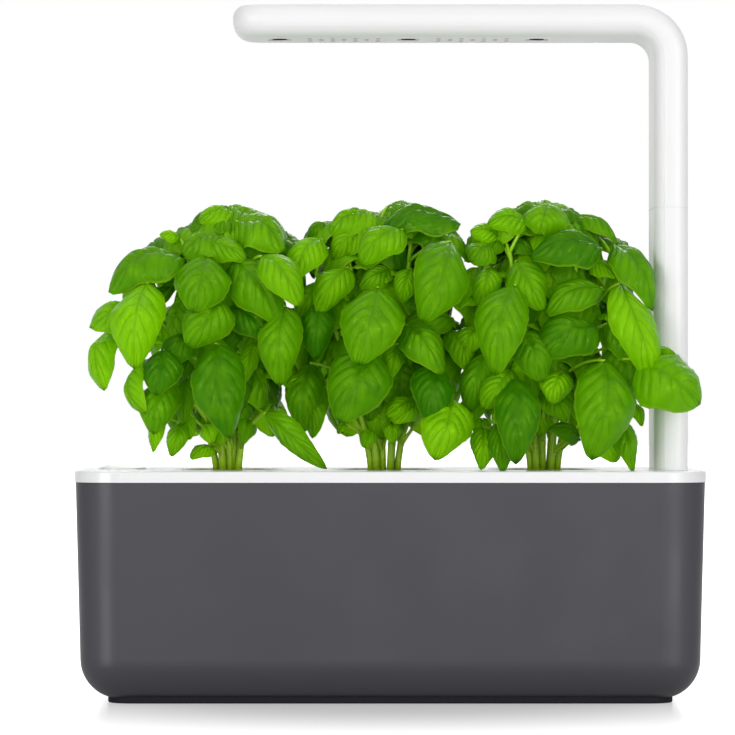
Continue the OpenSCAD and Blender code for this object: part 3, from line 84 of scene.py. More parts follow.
class Nodes:
    """Short way to write a shader node tree."""

    def __init__(self, tree: bpy.types.NodeTree) -> None:
        """Keeps the tree that new nodes go into."""
        self.tree = tree

    def add(self, kind: str, **settings: object) -> bpy.types.Node:
        """Adds a node.

        Args:
            kind: the node's Blender type, without its ShaderNode prefix.
            settings: attributes of the node itself.

        Returns:
            The new node.
        """
        made = self.tree.nodes.new("ShaderNode" + kind)
        for name, value in settings.items():
            setattr(made, name, value)
        return made

    def link(self, source: Output, target: bpy.types.NodeSocket) -> None:
        """Joins an output to an input."""
        self.tree.links.new(source, target)

    def feed(self, target: bpy.types.NodeSocket, value: object) -> None:
        """Links or sets an input.

        Args:
            target: the input socket.
            value: an output socket to link, or a plain value to set.
        """
        if isinstance(value, bpy.types.NodeSocket):
            self.link(value, target)
        else:
            target.default_value = value

    def fill(self, node: bpy.types.Node, **values: object) -> bpy.types.Node:
        """Feeds several inputs of a node.

        Args:
            node: the node.
            values: its inputs, with underscores for the spaces in their names.

        Returns:
            The node.
        """
        for name, value in values.items():
            self.feed(node.inputs[name.replace("_", " ")], value)
        return node

    def use(self, effect: bpy.types.NodeTree, **values: object) -> bpy.types.Node:
        """Places a shared effect.

        Args:
            effect: the effect's node group.
            values: its inputs, with underscores for the spaces in their names.

        Returns:
            The group node.
        """
        made = self.add("Group")
        made.node_tree = effect
        return self.fill(made, **values)

    def math(self, operation: str, *values: object, clamp: bool = False) -> Output:
        """Adds a Math node.

        Args:
            operation: the node's operation.
            values: numbers or output sockets for its inputs.
            clamp: whether the result stays from 0 to 1.

        Returns:
            The result's socket.
        """
        made = self.add("Math", operation=operation, use_clamp=clamp)
        for target, value in zip(made.inputs, values):
            self.feed(target, value)
        return made.outputs[0]

    def times(self, first: object, second: object) -> Output:
        """Returns the product of two values."""
        return self.math("MULTIPLY", first, second)

    def plus(self, first: object, second: object, clamp: bool = False) -> Output:
        """Returns the sum of two values, held from 0 to 1 if it is clamped."""
        return self.math("ADD", first, second, clamp=clamp)

    def minus(self, first: object, second: object) -> Output:
        """Returns the first value less the second."""
        return self.math("SUBTRACT", first, second)

    def most(self, first: object, second: object) -> Output:
        """Returns the greater of two values."""
        return self.math("MAXIMUM", first, second)

    def ramp(self, value: object, low: float, high: float, to_low: float = 0.0,
             to_high: float = 1.0) -> Output:
        """Maps a value smoothly and holds it at the ends.

        Args:
            value: the socket to map.
            low: the value that becomes to_low.
            high: the value that becomes to_high.
            to_low: result at and below low.
            to_high: result at and above high.

        Returns:
            The mapped value's socket.
        """
        made = self.add("MapRange", interpolation_type="SMOOTHSTEP")
        self.fill(made, Value=value, From_Min=low, From_Max=high, To_Min=to_low, To_Max=to_high)
        return made.outputs["Result"]

    def mix(self, factor: object, first: object, second: object) -> Output:
        """Mixes two colours.

        Args:
            factor: how much of the second colour shows.
            first: colour or socket at 0.
            second: colour or socket at 1.

        Returns:
            The mixed colour's socket.
        """
        made = self.add("Mix", data_type="RGBA")
        factor_input, first_input, second_input, mixed_output = 0, 6, 7, 2
        self.feed(made.inputs[factor_input], factor)
        for number, colour in ((first_input, first), (second_input, second)):
            self.feed(made.inputs[number], colour if isinstance(colour, Output) else opaque(colour))
        return made.outputs[mixed_output]

    def blend(self, factor: object, first: Output, second: Output) -> Output:
        """Mixes two shaders.

        Args:
            factor: how much of the second shader shows.
            first: the shader at 0.
            second: the shader at 1.

        Returns:
            The mixed shader's socket.
        """
        made = self.add("MixShader")
        for target, value in zip(made.inputs, (factor, first, second)):
            self.feed(target, value)
        return made.outputs[0]

    def place(self) -> Output:
        """Returns the object coordinates, in metres in the CAD frame."""
        return self.add("TexCoord").outputs["Object"]

    def parts(self, vector: Output) -> tuple[Output, ...]:
        """Returns the three coordinates of a vector."""
        return tuple(self.fill(self.add("SeparateXYZ"), Vector=vector).outputs)

    def noise(self, where: Output, scale: object, detail: float = 3.0, roughness: float = 0.55) -> Output:
        """Adds fractal noise.

        Args:
            where: the coordinates' socket.
            scale: waves per metre, or a socket that gives them.
            detail: number of octaves.
            roughness: weight of the finer octaves.

        Returns:
            The noise value's socket.
        """
        made = self.add("TexNoise")
        self.fill(made, Vector=where, Scale=scale, Detail=detail, Roughness=roughness)
        return made.outputs["Fac"]

    def cells(self, where: Output, scale: float, feature: str = "F1") -> Output:
        """Adds a pattern of cells.

        Args:
            where: the coordinates' socket.
            scale: cells per metre.
            feature: which distance the cells give.

        Returns:
            The distance's socket.
        """
        made = self.add("TexVoronoi", feature=feature)
        return self.fill(made, Vector=where, Scale=scale).outputs["Distance"]


class MaterialTree(Nodes):
    """One material's node tree, with its Principled shader and its output."""

    def __init__(self, name: str) -> None:
        """Starts the material.

        Args:
            name: the material's name.
        """
        self.material = bpy.data.materials.new(name)
        self.material.use_nodes = True
        super().__init__(self.material.node_tree)
        self.tree.nodes.clear()
        self.shader = self.add("BsdfPrincipled")
        self.output = self.add("OutputMaterial")
        self.show(self.shader.outputs["BSDF"])

    def show(self, shader: Output) -> None:
        """Makes a shader the one that the material shows."""
        self.link(shader, self.output.inputs["Surface"])

    def surface(self, **values: object) -> None:
        """Feeds the Principled shader's inputs, with underscores for the spaces in their names."""
        self.fill(self.shader, **values)

    def bump(self, height: Output, strength: float, depth: float) -> None:
        """Feeds a height to the Principled shader's normal.

        Args:
            height: the height's socket.
            strength: weight of the bump.
            depth: depth of the bump in metres.
        """
        made = self.fill(self.add("Bump"), Strength=strength, Distance=depth, Height=height)
        self.surface(Normal=made.outputs["Normal"])


def opaque(colour: Colour) -> tuple[float, float, float, float]:
    """Returns a colour with full opacity."""
    return (*colour, 1.0)


def darker(colour: Colour, share: float) -> Colour:
    """Returns a colour at a share of its brightness."""
    return tuple(part * share for part in colour)


def new_effect(name: str, inputs: dict[str, tuple[Socket, object]],
               outputs: Sequence[str]) -> tuple[Nodes, bpy.types.Node, bpy.types.Node]:
    """Starts a shared effect as a node group with a named interface.

    Args:
        name: the group's name.
        inputs: name of each input, with its kind and default value.
        outputs: name of each output, which are all plain values.

    Returns:
        The tree's writer, its input node and its output node.
    """
    tree = bpy.data.node_groups.new(name, "ShaderNodeTree")
    for label, (kind, default) in inputs.items():
        made = tree.interface.new_socket(name=label, in_out="INPUT", socket_type=kind.value)
        if default is not None:
            made.default_value = default
    for label in outputs:
        tree.interface.new_socket(name=label, in_out="OUTPUT", socket_type=Socket.VALUE.value)
    return Nodes(tree), tree.nodes.new("NodeGroupInput"), tree.nodes.new("NodeGroupOutput")


@dataclass
class Effects:
    """The node groups that several finishes share, each built once."""

    grain_scale: float = 2600.0
    wave_scale: float = 24.0
    edge_width: float = 0.0006
    edge_patch_scale: float = 90.0
    dust_patch_scale: float = 60.0
    dust_speck_scale: float = 1900.0
    fibre_scale: float = 900.0
    fibre_stretches: tuple[Point, ...] = ((1.0, 0.16, 1.0), (0.18, 1.0, 0.5), (1.0, 1.0, 0.14))
    vein_wander: float = 0.16
    vein_wander_scale: float = 75.0
    net_scale: float = 620.0
    net_depth: float = 0.35
    vein_height: float = 0.3
    quilt_height: float = 0.7

    def __post_init__(self) -> None:
        """Builds every shared effect."""
        self.grain = self._grain()
        self.edges = self._edges()
        self.dust = self._dust()
        self.fibres = self._fibres()
        self.veins = self._veins()

    def _grain(self) -> bpy.types.NodeTree:
        """Makes the fine spark-eroded grain and slow waviness of moulded plastic.

        Returns:
            The node group.
        """
        n, given, made = new_effect(
            "MouldedGrain",
            {"Grain Scale": (Socket.VALUE, self.grain_scale), "Wave Scale": (Socket.VALUE, self.wave_scale)},
            ("Height", "Mottle"))
        where = n.place()
        n.fill(made, Height=n.noise(where, given.outputs["Grain Scale"], detail=2.0),
               Mottle=n.noise(where, given.outputs["Wave Scale"], detail=2.0))
        return n.tree

    def _edges(self) -> bpy.types.NodeTree:
        """Makes the mask of edges that are painted paler, partly as wear and partly as a painted highlight,
        broken up by noise.

        Returns:
            The node group.
        """
        n, given, made = new_effect(
            "RubbedAndLitEdges",
            {"Width": (Socket.VALUE, self.edge_width), "Break Up": (Socket.VALUE, self.edge_patch_scale)},
            ("Mask",))
        bevel = n.fill(n.add("Bevel", samples=4), Radius=given.outputs["Width"])
        turned = n.add("VectorMath", operation="DOT_PRODUCT")
        n.link(bevel.outputs["Normal"], turned.inputs[0])
        n.link(n.add("NewGeometry").outputs["Normal"], turned.inputs[1])
        edge = n.ramp(turned.outputs["Value"], low=0.995, high=0.86)
        patches = n.noise(n.place(), given.outputs["Break Up"], detail=4.0)
        n.fill(made, Mask=n.times(edge, n.ramp(patches, low=0.35, high=0.7)))
        return n.tree

    def _dust(self) -> bpy.types.NodeTree:
        """Makes the mask of fine dust that settles on faces that look up.

        Returns:
            The node group.
        """
        n, given, made = new_effect(
            "SettledDust", {"Patch Scale": (Socket.VALUE, self.dust_patch_scale)}, ("Mask",))
        _, _, up = n.parts(n.add("NewGeometry").outputs["Normal"])
        upward = n.ramp(up, low=0.4, high=0.95)
        where = n.place()
        patches = n.noise(where, given.outputs["Patch Scale"], detail=5.0, roughness=0.65)
        specks = n.noise(where, self.dust_speck_scale, detail=2.0)
        both = n.times(n.ramp(patches, low=0.38, high=0.72), n.ramp(specks, low=0.42, high=0.75))
        n.fill(made, Mask=n.times(upward, both))
        return n.tree

    def _fibres(self) -> bpy.types.NodeTree:
        """Makes matted fibres: crossing streaks with a nap.

        Returns:
            The node group.
        """
        n, given, made = new_effect(
            "MattedFibres", {"Fibre Scale": (Socket.VALUE, self.fibre_scale)}, ("Height", "Tone"))
        where = n.place()
        streaks = []
        for stretch in self.fibre_stretches:
            drawn = n.fill(n.add("Mapping"), Vector=where, Scale=stretch).outputs["Vector"]
            streaks.append(n.noise(drawn, given.outputs["Fibre Scale"], detail=4.0, roughness=0.6))
        top = n.most(n.most(streaks[0], streaks[1]), streaks[2])
        n.fill(made, Height=top, Tone=n.ramp(top, low=0.45, high=0.75))
        return n.tree

    def _veins(self) -> bpy.types.NodeTree:
        """Makes the veins of a leaf from its own coordinates: length along U, width across V, and the margin
        band that takes a painted rim light.

        Returns:
            The node group.
        """
        n, given, made = new_effect(
            "LeafVeins",
            {"Leaf": (Socket.VECTOR, None), "Pairs": (Socket.VALUE, VEIN_PAIRS),
             "Sweep": (Socket.VALUE, VEIN_SWEEP)},
            ("Veins", "Net", "Rim", "Height"))
        middle, whole_pairs = 0.5, 8.0
        u, v, _ = n.parts(given.outputs["Leaf"])
        across = n.math("ABSOLUTE", n.minus(n.times(v, 2.0), 1.0))
        waves = n.noise(n.place(), self.vein_wander_scale, detail=2.0)
        wander = n.times(n.minus(waves, middle), self.vein_wander)
        swept = n.plus(wander, n.minus(u, n.times(across, given.outputs["Sweep"])))
        phase = n.math("FRACT", n.plus(n.times(swept, given.outputs["Pairs"]), whole_pairs))
        beside = n.math("ABSOLUTE", n.minus(phase, middle))
        side_vein = n.times(n.ramp(beside, low=0.44, high=0.5), n.ramp(across, low=0.95, high=0.3))
        veins = n.most(side_vein, n.ramp(across, low=0.07, high=0.015))
        net = n.ramp(n.cells(n.place(), self.net_scale, "DISTANCE_TO_EDGE"), low=0.1, high=0.0)
        raised = n.minus(1.0, n.most(veins, n.times(net, self.net_depth)))
        pillow = n.minus(1.0, n.math("POWER", n.times(beside, 2.0), 2.0))
        inside = n.times(n.ramp(across, low=0.02, high=0.25), n.ramp(across, low=1.0, high=0.7))
        quilted = n.times(pillow, inside)
        height = n.plus(n.times(raised, self.vein_height), n.times(quilted, self.quilt_height))
        # The margin band is where a pale colour is painted as rim light.
        n.fill(made, Veins=veins, Net=net, Rim=n.ramp(across, low=0.94, high=1.0), Height=height)
        return n.tree


# ------------------------------------------------------------------ finishes


@dataclass(frozen=True)
class Recipe:
    """What every finish has: its material's name, and the way it is built."""

    name: str

    def coat(self, n: MaterialTree, effects: Effects) -> None:
        """Feeds the material's tree; each finish has its own."""
        raise NotImplementedError

    def build(self, effects: Effects) -> Material:
        """Builds the finish.

        Args:
            effects: the shared effects.

        Returns:
            The finished material.
        """
        n = MaterialTree(self.name)
        self.coat(n, effects)
        return n.material


@dataclass(frozen=True)
class MouldedPlastic(Recipe):
    """Injection-moulded plastic with fine grain, faint mottling, dust, and paler edges: partly wear, partly
    a painted highlight.
    """

    colour: Colour
    edge_wear_and_light: Colour
    roughness: float = 0.38
    smoother: float = 0.03
    rougher: float = 0.04
    mottle: float = 0.97
    grain_depth: float = 0.00002
    grain_strength: float = 0.5
    edge_width: float = 0.0005
    edge_amount: float = 0.35
    dust: Colour = (0.62, 0.60, 0.56)
    dust_amount: float = 0.05
    dust_roughness: float = 0.2
    specular: float = 0.5
    low_face: Colour | None = None
    low_face_top: float = 0.0
    low_face_blend: float = 0.0001

    def coat(self, n: MaterialTree, effects: Effects) -> None:
        """Lays grain, paler edges (wear and a painted highlight) and dust over the plastic.

        Args:
            n: the material's tree.
            effects: the shared effects.
        """
        grain = n.use(effects.grain).outputs
        edges = n.use(effects.edges, Width=self.edge_width).outputs["Mask"]
        dust = n.use(effects.dust).outputs["Mask"]
        mottled = n.mix(grain["Mottle"], darker(self.colour, self.mottle), self.colour)
        # Paler edges: partly wear, partly a painted highlight where edges would catch the light.
        rubbed_and_lit = n.mix(n.times(edges, self.edge_amount), mottled, self.edge_wear_and_light)
        shown = n.mix(n.times(dust, self.dust_amount), rubbed_and_lit, self.dust)
        if self.low_face is not None:
            _, _, height = n.parts(n.place())
            above = n.ramp(height, self.low_face_top, self.low_face_top + self.low_face_blend)
            shown = n.mix(above, self.low_face, shown)
        rough = n.ramp(grain["Mottle"], low=0.3, high=0.7, to_low=self.roughness - self.smoother,
                       to_high=self.roughness + self.rougher)
        n.surface(Base_Color=shown, Roughness=n.plus(rough, n.times(dust, self.dust_roughness)),
                  Specular_IOR_Level=self.specular)
        n.bump(grain["Height"], self.grain_strength, self.grain_depth)


@dataclass(frozen=True)
class Metal(Recipe):
    """Plated or drawn metal with fine directional marks."""

    colour: Colour
    tarnish: Colour
    roughness: float = 0.28
    rougher: float = 0.18
    mark_scale: float = 1600.0
    tarnish_scale: float = 160.0
    mark_strength: float = 0.25
    mark_depth: float = 0.00002

    def coat(self, n: MaterialTree, effects: Effects) -> None:
        """Draws fine marks and tarnish over the metal.

        Args:
            n: the material's tree.
            effects: the shared effects.
        """
        marks = n.use(effects.fibres, Fibre_Scale=self.mark_scale).outputs
        patches = n.use(effects.grain, Wave_Scale=self.tarnish_scale).outputs["Mottle"]
        tarnished = n.mix(n.ramp(patches, low=0.45, high=0.8), self.colour, self.tarnish)
        rough = n.ramp(marks["Tone"], low=0.0, high=1.0, to_low=self.roughness,
                       to_high=self.roughness + self.rougher)
        n.surface(Base_Color=tarnished, Metallic=1.0, Roughness=rough)
        n.bump(marks["Height"], self.mark_strength, self.mark_depth)


@dataclass(frozen=True)
class Matted(Recipe):
    """Felt or pressed paper: fibres with a matt, uneven tone."""

    colour: Colour
    shade: Colour
    fibre_scale: float = 900.0
    depth: float = 0.0002
    roughness: float = 0.95
    specular: float = 0.2
    strength: float = 0.8

    def coat(self, n: MaterialTree, effects: Effects) -> None:
        """Mats the fibres.

        Args:
            n: the material's tree.
            effects: the shared effects.
        """
        fibres = n.use(effects.fibres, Fibre_Scale=self.fibre_scale).outputs
        n.surface(Base_Color=n.mix(fibres["Tone"], self.shade, self.colour), Roughness=self.roughness,
                  Specular_IOR_Level=self.specular)
        n.bump(fibres["Height"], self.strength, self.depth)


@dataclass(frozen=True)
class Crumbs(Recipe):
    """Damp growing medium: dark crumbs with paler fibres and small holes."""

    dark: Colour
    brown: Colour
    pale: Colour
    crumb_scale: float = 700.0
    fibre_scale: float = 520.0
    lump_scale: float = 240.0
    damp_roughness: float = 0.7
    dry_roughness: float = 0.98
    strength: float = 0.9
    depth: float = 0.0009

    def coat(self, n: MaterialTree, effects: Effects) -> None:
        """Strews crumbs and fibres over the damp earth.

        Args:
            n: the material's tree.
            effects: the shared effects.
        """
        where = n.place()
        crumbs = n.cells(where, self.crumb_scale)
        fibres = n.use(effects.fibres, Fibre_Scale=self.fibre_scale).outputs["Tone"]
        lumps = n.noise(where, self.lump_scale, detail=6.0, roughness=0.7)
        earth = n.mix(n.ramp(lumps, low=0.3, high=0.7), self.dark, self.brown)
        rough = n.ramp(lumps, low=0.3, high=0.7, to_low=self.damp_roughness, to_high=self.dry_roughness)
        n.surface(Base_Color=n.mix(n.math("POWER", fibres, 4.0), earth, self.pale), Roughness=rough)
        n.bump(n.plus(crumbs, lumps), self.strength, self.depth)


@dataclass(frozen=True)
class LeafSkin(Recipe):
    """Upper and under side of a leaf, glossy, veined and slightly see-through; its veins are darkened partly
    with painted groove shade, and a painted rim light runs along its margin.
    """

    deep: Colour
    fresh: Colour
    # The vein colour is a darker green, partly painted shade in the vein grooves; the rim colour is painted
    # along the margin as rim light.
    vein_with_groove_shade: Colour
    under: Colour
    glow: Colour
    rim: Colour
    tone_share: float = 0.8
    youth_share: float = 0.3
    patch_share: float = 0.6
    patch_scale: float = 130.0
    vein_share: float = 0.35
    net_share: float = 0.1
    rim_light_share: float = 0.35
    under_share: float = 0.85
    shine: float = 0.15
    duller: float = 0.1
    matt_share: float = 0.35
    gloss: float = 0.44
    gloss_tint: Colour = (0.76, 1.0, 0.18)
    through: float = 0.36
    fine_scale: float = 1500.0
    fine_height: float = 0.12
    strength: float = 0.8
    depth: float = 0.0008

    def colours(self, n: MaterialTree, veins: bpy.types.Node, growth: bpy.types.Node) -> Output:
        """Mixes the leaf's colours.

        Args:
            n: the material's tree.
            veins: the node that gives the veins.
            growth: the node that gives tone, underside and youth as red, green and blue.

        Returns:
            The colour's socket.
        """
        tone, below, youth = (growth.outputs[name] for name in ("Red", "Green", "Blue"))
        patches = n.noise(n.place(), self.patch_scale, detail=4.0, roughness=0.6)
        grown = n.plus(n.times(tone, self.tone_share), n.times(youth, self.youth_share))
        lively = n.plus(grown, n.times(n.minus(patches, 0.5), self.patch_share), clamp=True)
        shown = n.mix(lively, self.deep, self.fresh)
        # Veins are mixed towards a darker green, partly their own colour and partly painted groove shade;
        # the margin band takes a pale colour as a painted rim light.
        for mask, share, colour in ((veins.outputs["Veins"], self.vein_share, self.vein_with_groove_shade),
                                    (veins.outputs["Net"], self.net_share, self.vein_with_groove_shade),
                                    (veins.outputs["Rim"], self.rim_light_share, self.rim),
                                    (below, self.under_share, self.under)):
            shown = n.mix(n.times(mask, share), shown, colour)
        return shown

    def coat(self, n: MaterialTree, effects: Effects) -> None:
        """Colours, veins and glosses the leaf, and lets light through it.

        Args:
            n: the material's tree.
            effects: the shared effects.
        """
        values = n.add("Attribute", attribute_name=GROWTH_VALUES)
        growth = n.fill(n.add("SeparateColor"), Color=values.outputs["Color"])
        veins = n.use(effects.veins, Leaf=n.add("UVMap", uv_map=LEAF_MAP).outputs["UV"])
        fine = n.noise(n.place(), self.fine_scale, detail=2.0)
        matt = n.times(n.most(growth.outputs["Green"], veins.outputs["Rim"]), self.matt_share)
        rough = n.ramp(fine, low=0.3, high=0.7, to_low=self.shine, to_high=self.shine + self.duller)
        n.surface(Base_Color=self.colours(n, veins, growth), Roughness=n.plus(rough, matt),
                  Specular_IOR_Level=self.gloss, Specular_Tint=opaque(self.gloss_tint))
        n.bump(n.plus(veins.outputs["Height"], n.times(fine, self.fine_height)), self.strength, self.depth)
        lit = n.mix(veins.outputs["Veins"], self.glow, self.fresh)
        thin = n.fill(n.add("BsdfTranslucent"), Color=lit)
        n.show(n.blend(self.through, n.shader.outputs["BSDF"], thin.outputs["BSDF"]))


@dataclass(frozen=True)
class StemSkin(Recipe):
    """Juicy ribbed stem, paler towards the tips."""

    foot: Colour
    top: Colour
    low: float = 0.11
    high: float = 0.2
    fibre_scale: float = 700.0
    fibre_share: float = 0.4
    shine: float = 0.42
    matt: float = 0.58
    strength: float = 0.4
    depth: float = 0.0002

    def coat(self, n: MaterialTree, effects: Effects) -> None:
        """Colours the stem by its height and ribs it.

        Args:
            n: the material's tree.
            effects: the shared effects.
        """
        _, _, height = n.parts(n.place())
        fibres = n.use(effects.fibres, Fibre_Scale=self.fibre_scale).outputs
        plain = n.mix(n.ramp(height, self.low, self.high), self.foot, self.top)
        n.surface(Base_Color=n.mix(n.times(fibres["Tone"], self.fibre_share), plain, self.top),
                  Roughness=n.ramp(fibres["Tone"], low=0.0, high=1.0, to_low=self.shine, to_high=self.matt))
        n.bump(fibres["Height"], self.strength, self.depth)


@dataclass(frozen=True)
class ClearPane(Recipe):
    """Frosted clear plastic over the light emitters."""

    colour: Colour
    roughness: float = 0.22
    clearness: float = 0.7
    mottle: float = 0.94
    grain_scale: float = 1800.0
    grain_strength: float = 0.4
    grain_depth: float = 0.00003

    def coat(self, n: MaterialTree, effects: Effects) -> None:
        """Frosts the clear plastic.

        Args:
            n: the material's tree.
            effects: the shared effects.
        """
        grain = n.use(effects.grain, Grain_Scale=self.grain_scale).outputs
        n.surface(Base_Color=n.mix(grain["Mottle"], darker(self.colour, self.mottle), self.colour),
                  Transmission_Weight=self.clearness, Roughness=self.roughness)
        n.bump(grain["Height"], self.grain_strength, self.grain_depth)


WHITE = (0.9, 0.9, 0.9)


class Finish(Enum):
    """Every finish of the object's own pieces."""

    TUB = MouldedPlastic("tub_plastic", (0.046, 0.0445, 0.0535), (0.09, 0.09, 0.1), roughness=0.42,
                         grain_depth=0.00003, edge_amount=0.3, specular=0.4)
    PLINTH = MouldedPlastic("plinth_plastic", (0.014, 0.014, 0.017), (0.03, 0.03, 0.035), roughness=0.6,
                            specular=0.12)
    PADS = MouldedPlastic("pad_rubber", (0.014, 0.014, 0.015), (0.04, 0.04, 0.04), roughness=0.82,
                          grain_depth=0.00008)
    TRAY = MouldedPlastic("tray_plastic", (0.83, 0.83, 0.84), WHITE, roughness=0.2)
    CAP = MouldedPlastic("cap_plastic", (0.86, 0.86, 0.87), WHITE, roughness=0.28)
    LAMP = MouldedPlastic("lamp_plastic", (0.87, 0.862, 0.872), WHITE, roughness=0.36, dust_amount=0.02)
    INNER = MouldedPlastic("inner_plastic", (0.7, 0.7, 0.72), (0.8, 0.8, 0.8), roughness=0.48)
    BLACK = MouldedPlastic("black_plastic", (0.011, 0.011, 0.012), (0.05, 0.05, 0.05), roughness=0.5,
                           dust_amount=0.02)
    # Partly painted shade: the walls inside the light windows are near-black with no gloss, standing in for
    # the shade in the recesses; the face below low_face_top keeps a pale colour.
    BEZEL = MouldedPlastic("window_bezel_painted_shade", (0.003, 0.003, 0.003), (0.006, 0.006, 0.006), roughness=0.7,
                           dust_amount=0.0, specular=0.0, low_face=(0.8, 0.8, 0.81), low_face_top=0.31942)
    # Painted shade: a near-black matted finish for the discs that darken the vent holes under the lamp.
    SCREEN = Matted("vent_painted_shade", (0.05, 0.05, 0.052), (0.02, 0.02, 0.02), fibre_scale=1800.0,
                    depth=0.00005)
    POD = MouldedPlastic("pod_plastic", (0.6, 0.61, 0.58), (0.72, 0.72, 0.7), roughness=0.5)
    BRASS = Metal("contact_brass", (0.7, 0.5, 0.2), (0.42, 0.27, 0.12), roughness=0.22)
    STEEL = Metal("screw_steel", (0.55, 0.55, 0.57), (0.3, 0.29, 0.28), roughness=0.3)
    SPREADER = Metal("spreader_metal", (0.66, 0.67, 0.69), (0.5, 0.5, 0.52), roughness=0.34)
    WIRE = MouldedPlastic("wire_cover", (0.02, 0.022, 0.03), (0.06, 0.06, 0.07), roughness=0.42)
    FELT = Matted("wick_felt", (0.72, 0.69, 0.6), (0.42, 0.39, 0.31), fibre_scale=1100.0, depth=0.0003)
    SOIL = Crumbs("growing_medium", (0.012, 0.008, 0.005), (0.07, 0.04, 0.022), (0.3, 0.2, 0.11))
    LABEL = Matted("label_paper", (0.86, 0.85, 0.8), (0.74, 0.73, 0.67), fibre_scale=1500.0,
                   depth=0.00004, roughness=0.7)
    LABEL_RING = Matted("label_ink", (0.16, 0.34, 0.1), (0.1, 0.25, 0.06), fibre_scale=1500.0,
                        depth=0.00004, roughness=0.6)
    # The vein colour is partly painted groove shade, and the rim colour is a painted rim light along the
    # leaf's margin.
    LEAF = LeafSkin("leaf", deep=(0.017, 0.14, 0.0), fresh=(0.37, 0.86, 0.001), vein_with_groove_shade=(0.09, 0.3, 0.0),
                    under=(0.36, 0.62, 0.01), glow=(0.52, 0.9, 0.002), rim=(0.55, 0.85, 0.03))
    STEM = StemSkin("stem", foot=(0.36, 0.58, 0.012), top=(0.34, 0.66, 0.008))
    PANE = ClearPane("window_plastic", (0.3, 0.32, 0.36))
    LIGHT_BOARD = MouldedPlastic("board_white", (0.75, 0.78, 0.75), WHITE, roughness=0.3)
    TIMER_BOARD = MouldedPlastic("board_green", (0.015, 0.12, 0.045), (0.05, 0.2, 0.1), roughness=0.28)
    EMITTER = MouldedPlastic("emitter", (0.85, 0.66, 0.16), (0.9, 0.8, 0.4), roughness=0.3)
    SEAM = MouldedPlastic("parting_shadow", (0.74, 0.74, 0.75), (0.8, 0.8, 0.8), roughness=0.6,
                          dust_amount=0.0)


Palette = dict[Finish, Material]


def make_palette(effects: Effects) -> Palette:
    """Builds every finish once, to be handed to the sub-assemblies."""
    return {finish: finish.value.build(effects) for finish in Finish}


# ------------------------------------------------------------------ meshes


class Skin:
    """Collects the points and faces of one piece, with its leaf coordinates and growth values."""

    def __init__(self) -> None:
        """Starts an empty piece."""
        self.points: list[Vector] = []
        self.faces: list[tuple[int, ...]] = []
        self.places: list[Place] = []
        self.growth: list[tuple[float, float, float, float]] = []

    def point(self, at: Sequence[float], place: Place = (0.0, 0.0), growth: Point = (0.5, 0.0, 0.0)) -> int:
        """Adds a point.

        Args:
            at: where it lies.
            place: its leaf coordinates, along and across.
            growth: tone, underside and youth, each from 0 to 1.

        Returns:
            The point's number.
        """
        self.points.append(Vector(at))
        self.places.append(place)
        self.growth.append(opaque(growth))
        return len(self.points) - 1

    def ring_faces(self, first: Sequence[int], second: Sequence[int]) -> None:
        """Joins two closed rings of points with quads.

        Args:
            first: one ring.
            second: the next.
        """
        count = len(first)
        for k in range(count):
            after = (k + 1) % count
            self.faces.append((first[k], first[after], second[after], second[k]))

    def bridge(self, rings: Sequence[Sequence[int]]) -> None:
        """Joins rings of points in their order.

        Args:
            rings: the rings, from end to end.
        """
        for first, second in zip(rings, rings[1:]):
            self.ring_faces(first, second)

    def solid(self, rings: Sequence[Sequence[int]]) -> None:
        """Joins rings of points and closes both ends.

        Args:
            rings: the rings, from end to end, each anticlockwise seen from the last one's side.
        """
        self.bridge(rings)
        self.faces.append(tuple(reversed(rings[0])))
        self.faces.append(tuple(rings[-1]))

    def tube(self, route: Sequence[Vector], radius: Callable[[float], float], sides: int) -> None:
        """Adds a closed tube along a route.

        Args:
            route: the points that it follows.
            radius: its radius at a share of the route.
            sides: corners of its cross-section.
        """
        rings = []
        last = len(route) - 1
        across = Vector((0.0, 1.0, 0.0))
        for i, at in enumerate(route):
            along = (route[min(i + 1, last)] - route[max(i - 1, 0)]).normalized()
            across = (across - along * across.dot(along)).normalized()
            other = along.cross(across)
            r = radius(i / last)
            angles = (FULL_TURN * k / sides for k in range(sides))
            rings.append([self.point(at + (across * math.cos(a) + other * math.sin(a)) * r, (i / last, 0.5))
                          for a in angles])
        self.solid(rings)

    def build(self, name: str, material: Material, smooth: bool = True) -> bpy.types.Object:
        """Makes the piece.

        Args:
            name: the piece's name.
            material: its finish.
            smooth: whether its faces are shaded smooth.

        Returns:
            The piece, in metres.
        """
        mesh = bpy.data.meshes.new(name)
        mesh.from_pydata([tuple(p * MM) for p in self.points], [], self.faces)
        mesh.polygons.foreach_set("use_smooth", [smooth] * len(mesh.polygons))
        layer = mesh.uv_layers.new(name=LEAF_MAP)
        corners = [0] * len(mesh.loops)
        mesh.loops.foreach_get("vertex_index", corners)
        layer.data.foreach_set("uv", [value for corner in corners for value in self.places[corner]])
        growth = mesh.color_attributes.new(GROWTH_VALUES, "FLOAT_COLOR", "POINT")
        growth.data.foreach_set("color", [value for row in self.growth for value in row])
        mesh.materials.append(material)
        mesh.validate()
        mesh.update()
        return stand(bpy.data.objects.new(name, mesh))


def stand(piece: bpy.types.Object) -> bpy.types.Object:
    """Puts an object into the scene.

    Args:
        piece: the object.

    Returns:
        The object.
    """
    bpy.context.scene.collection.objects.link(piece)
    return piece


def settle(piece: bpy.types.Object, body: str, slot: str, *nodes: str) -> bpy.types.Object:
    """Puts a piece on its body.

    Args:
        piece: the piece.
        body: the CAD body that it moves with.
        slot: the record's material slot; not used.
        nodes: the CAD nodes that it stands for.

    Returns:
        The piece.
    """
    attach(piece, body)
    if nodes:
        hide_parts(*nodes)
    log.info("%s rides on %s: %d faces", piece.name, body, len(piece.data.polygons))
    return piece


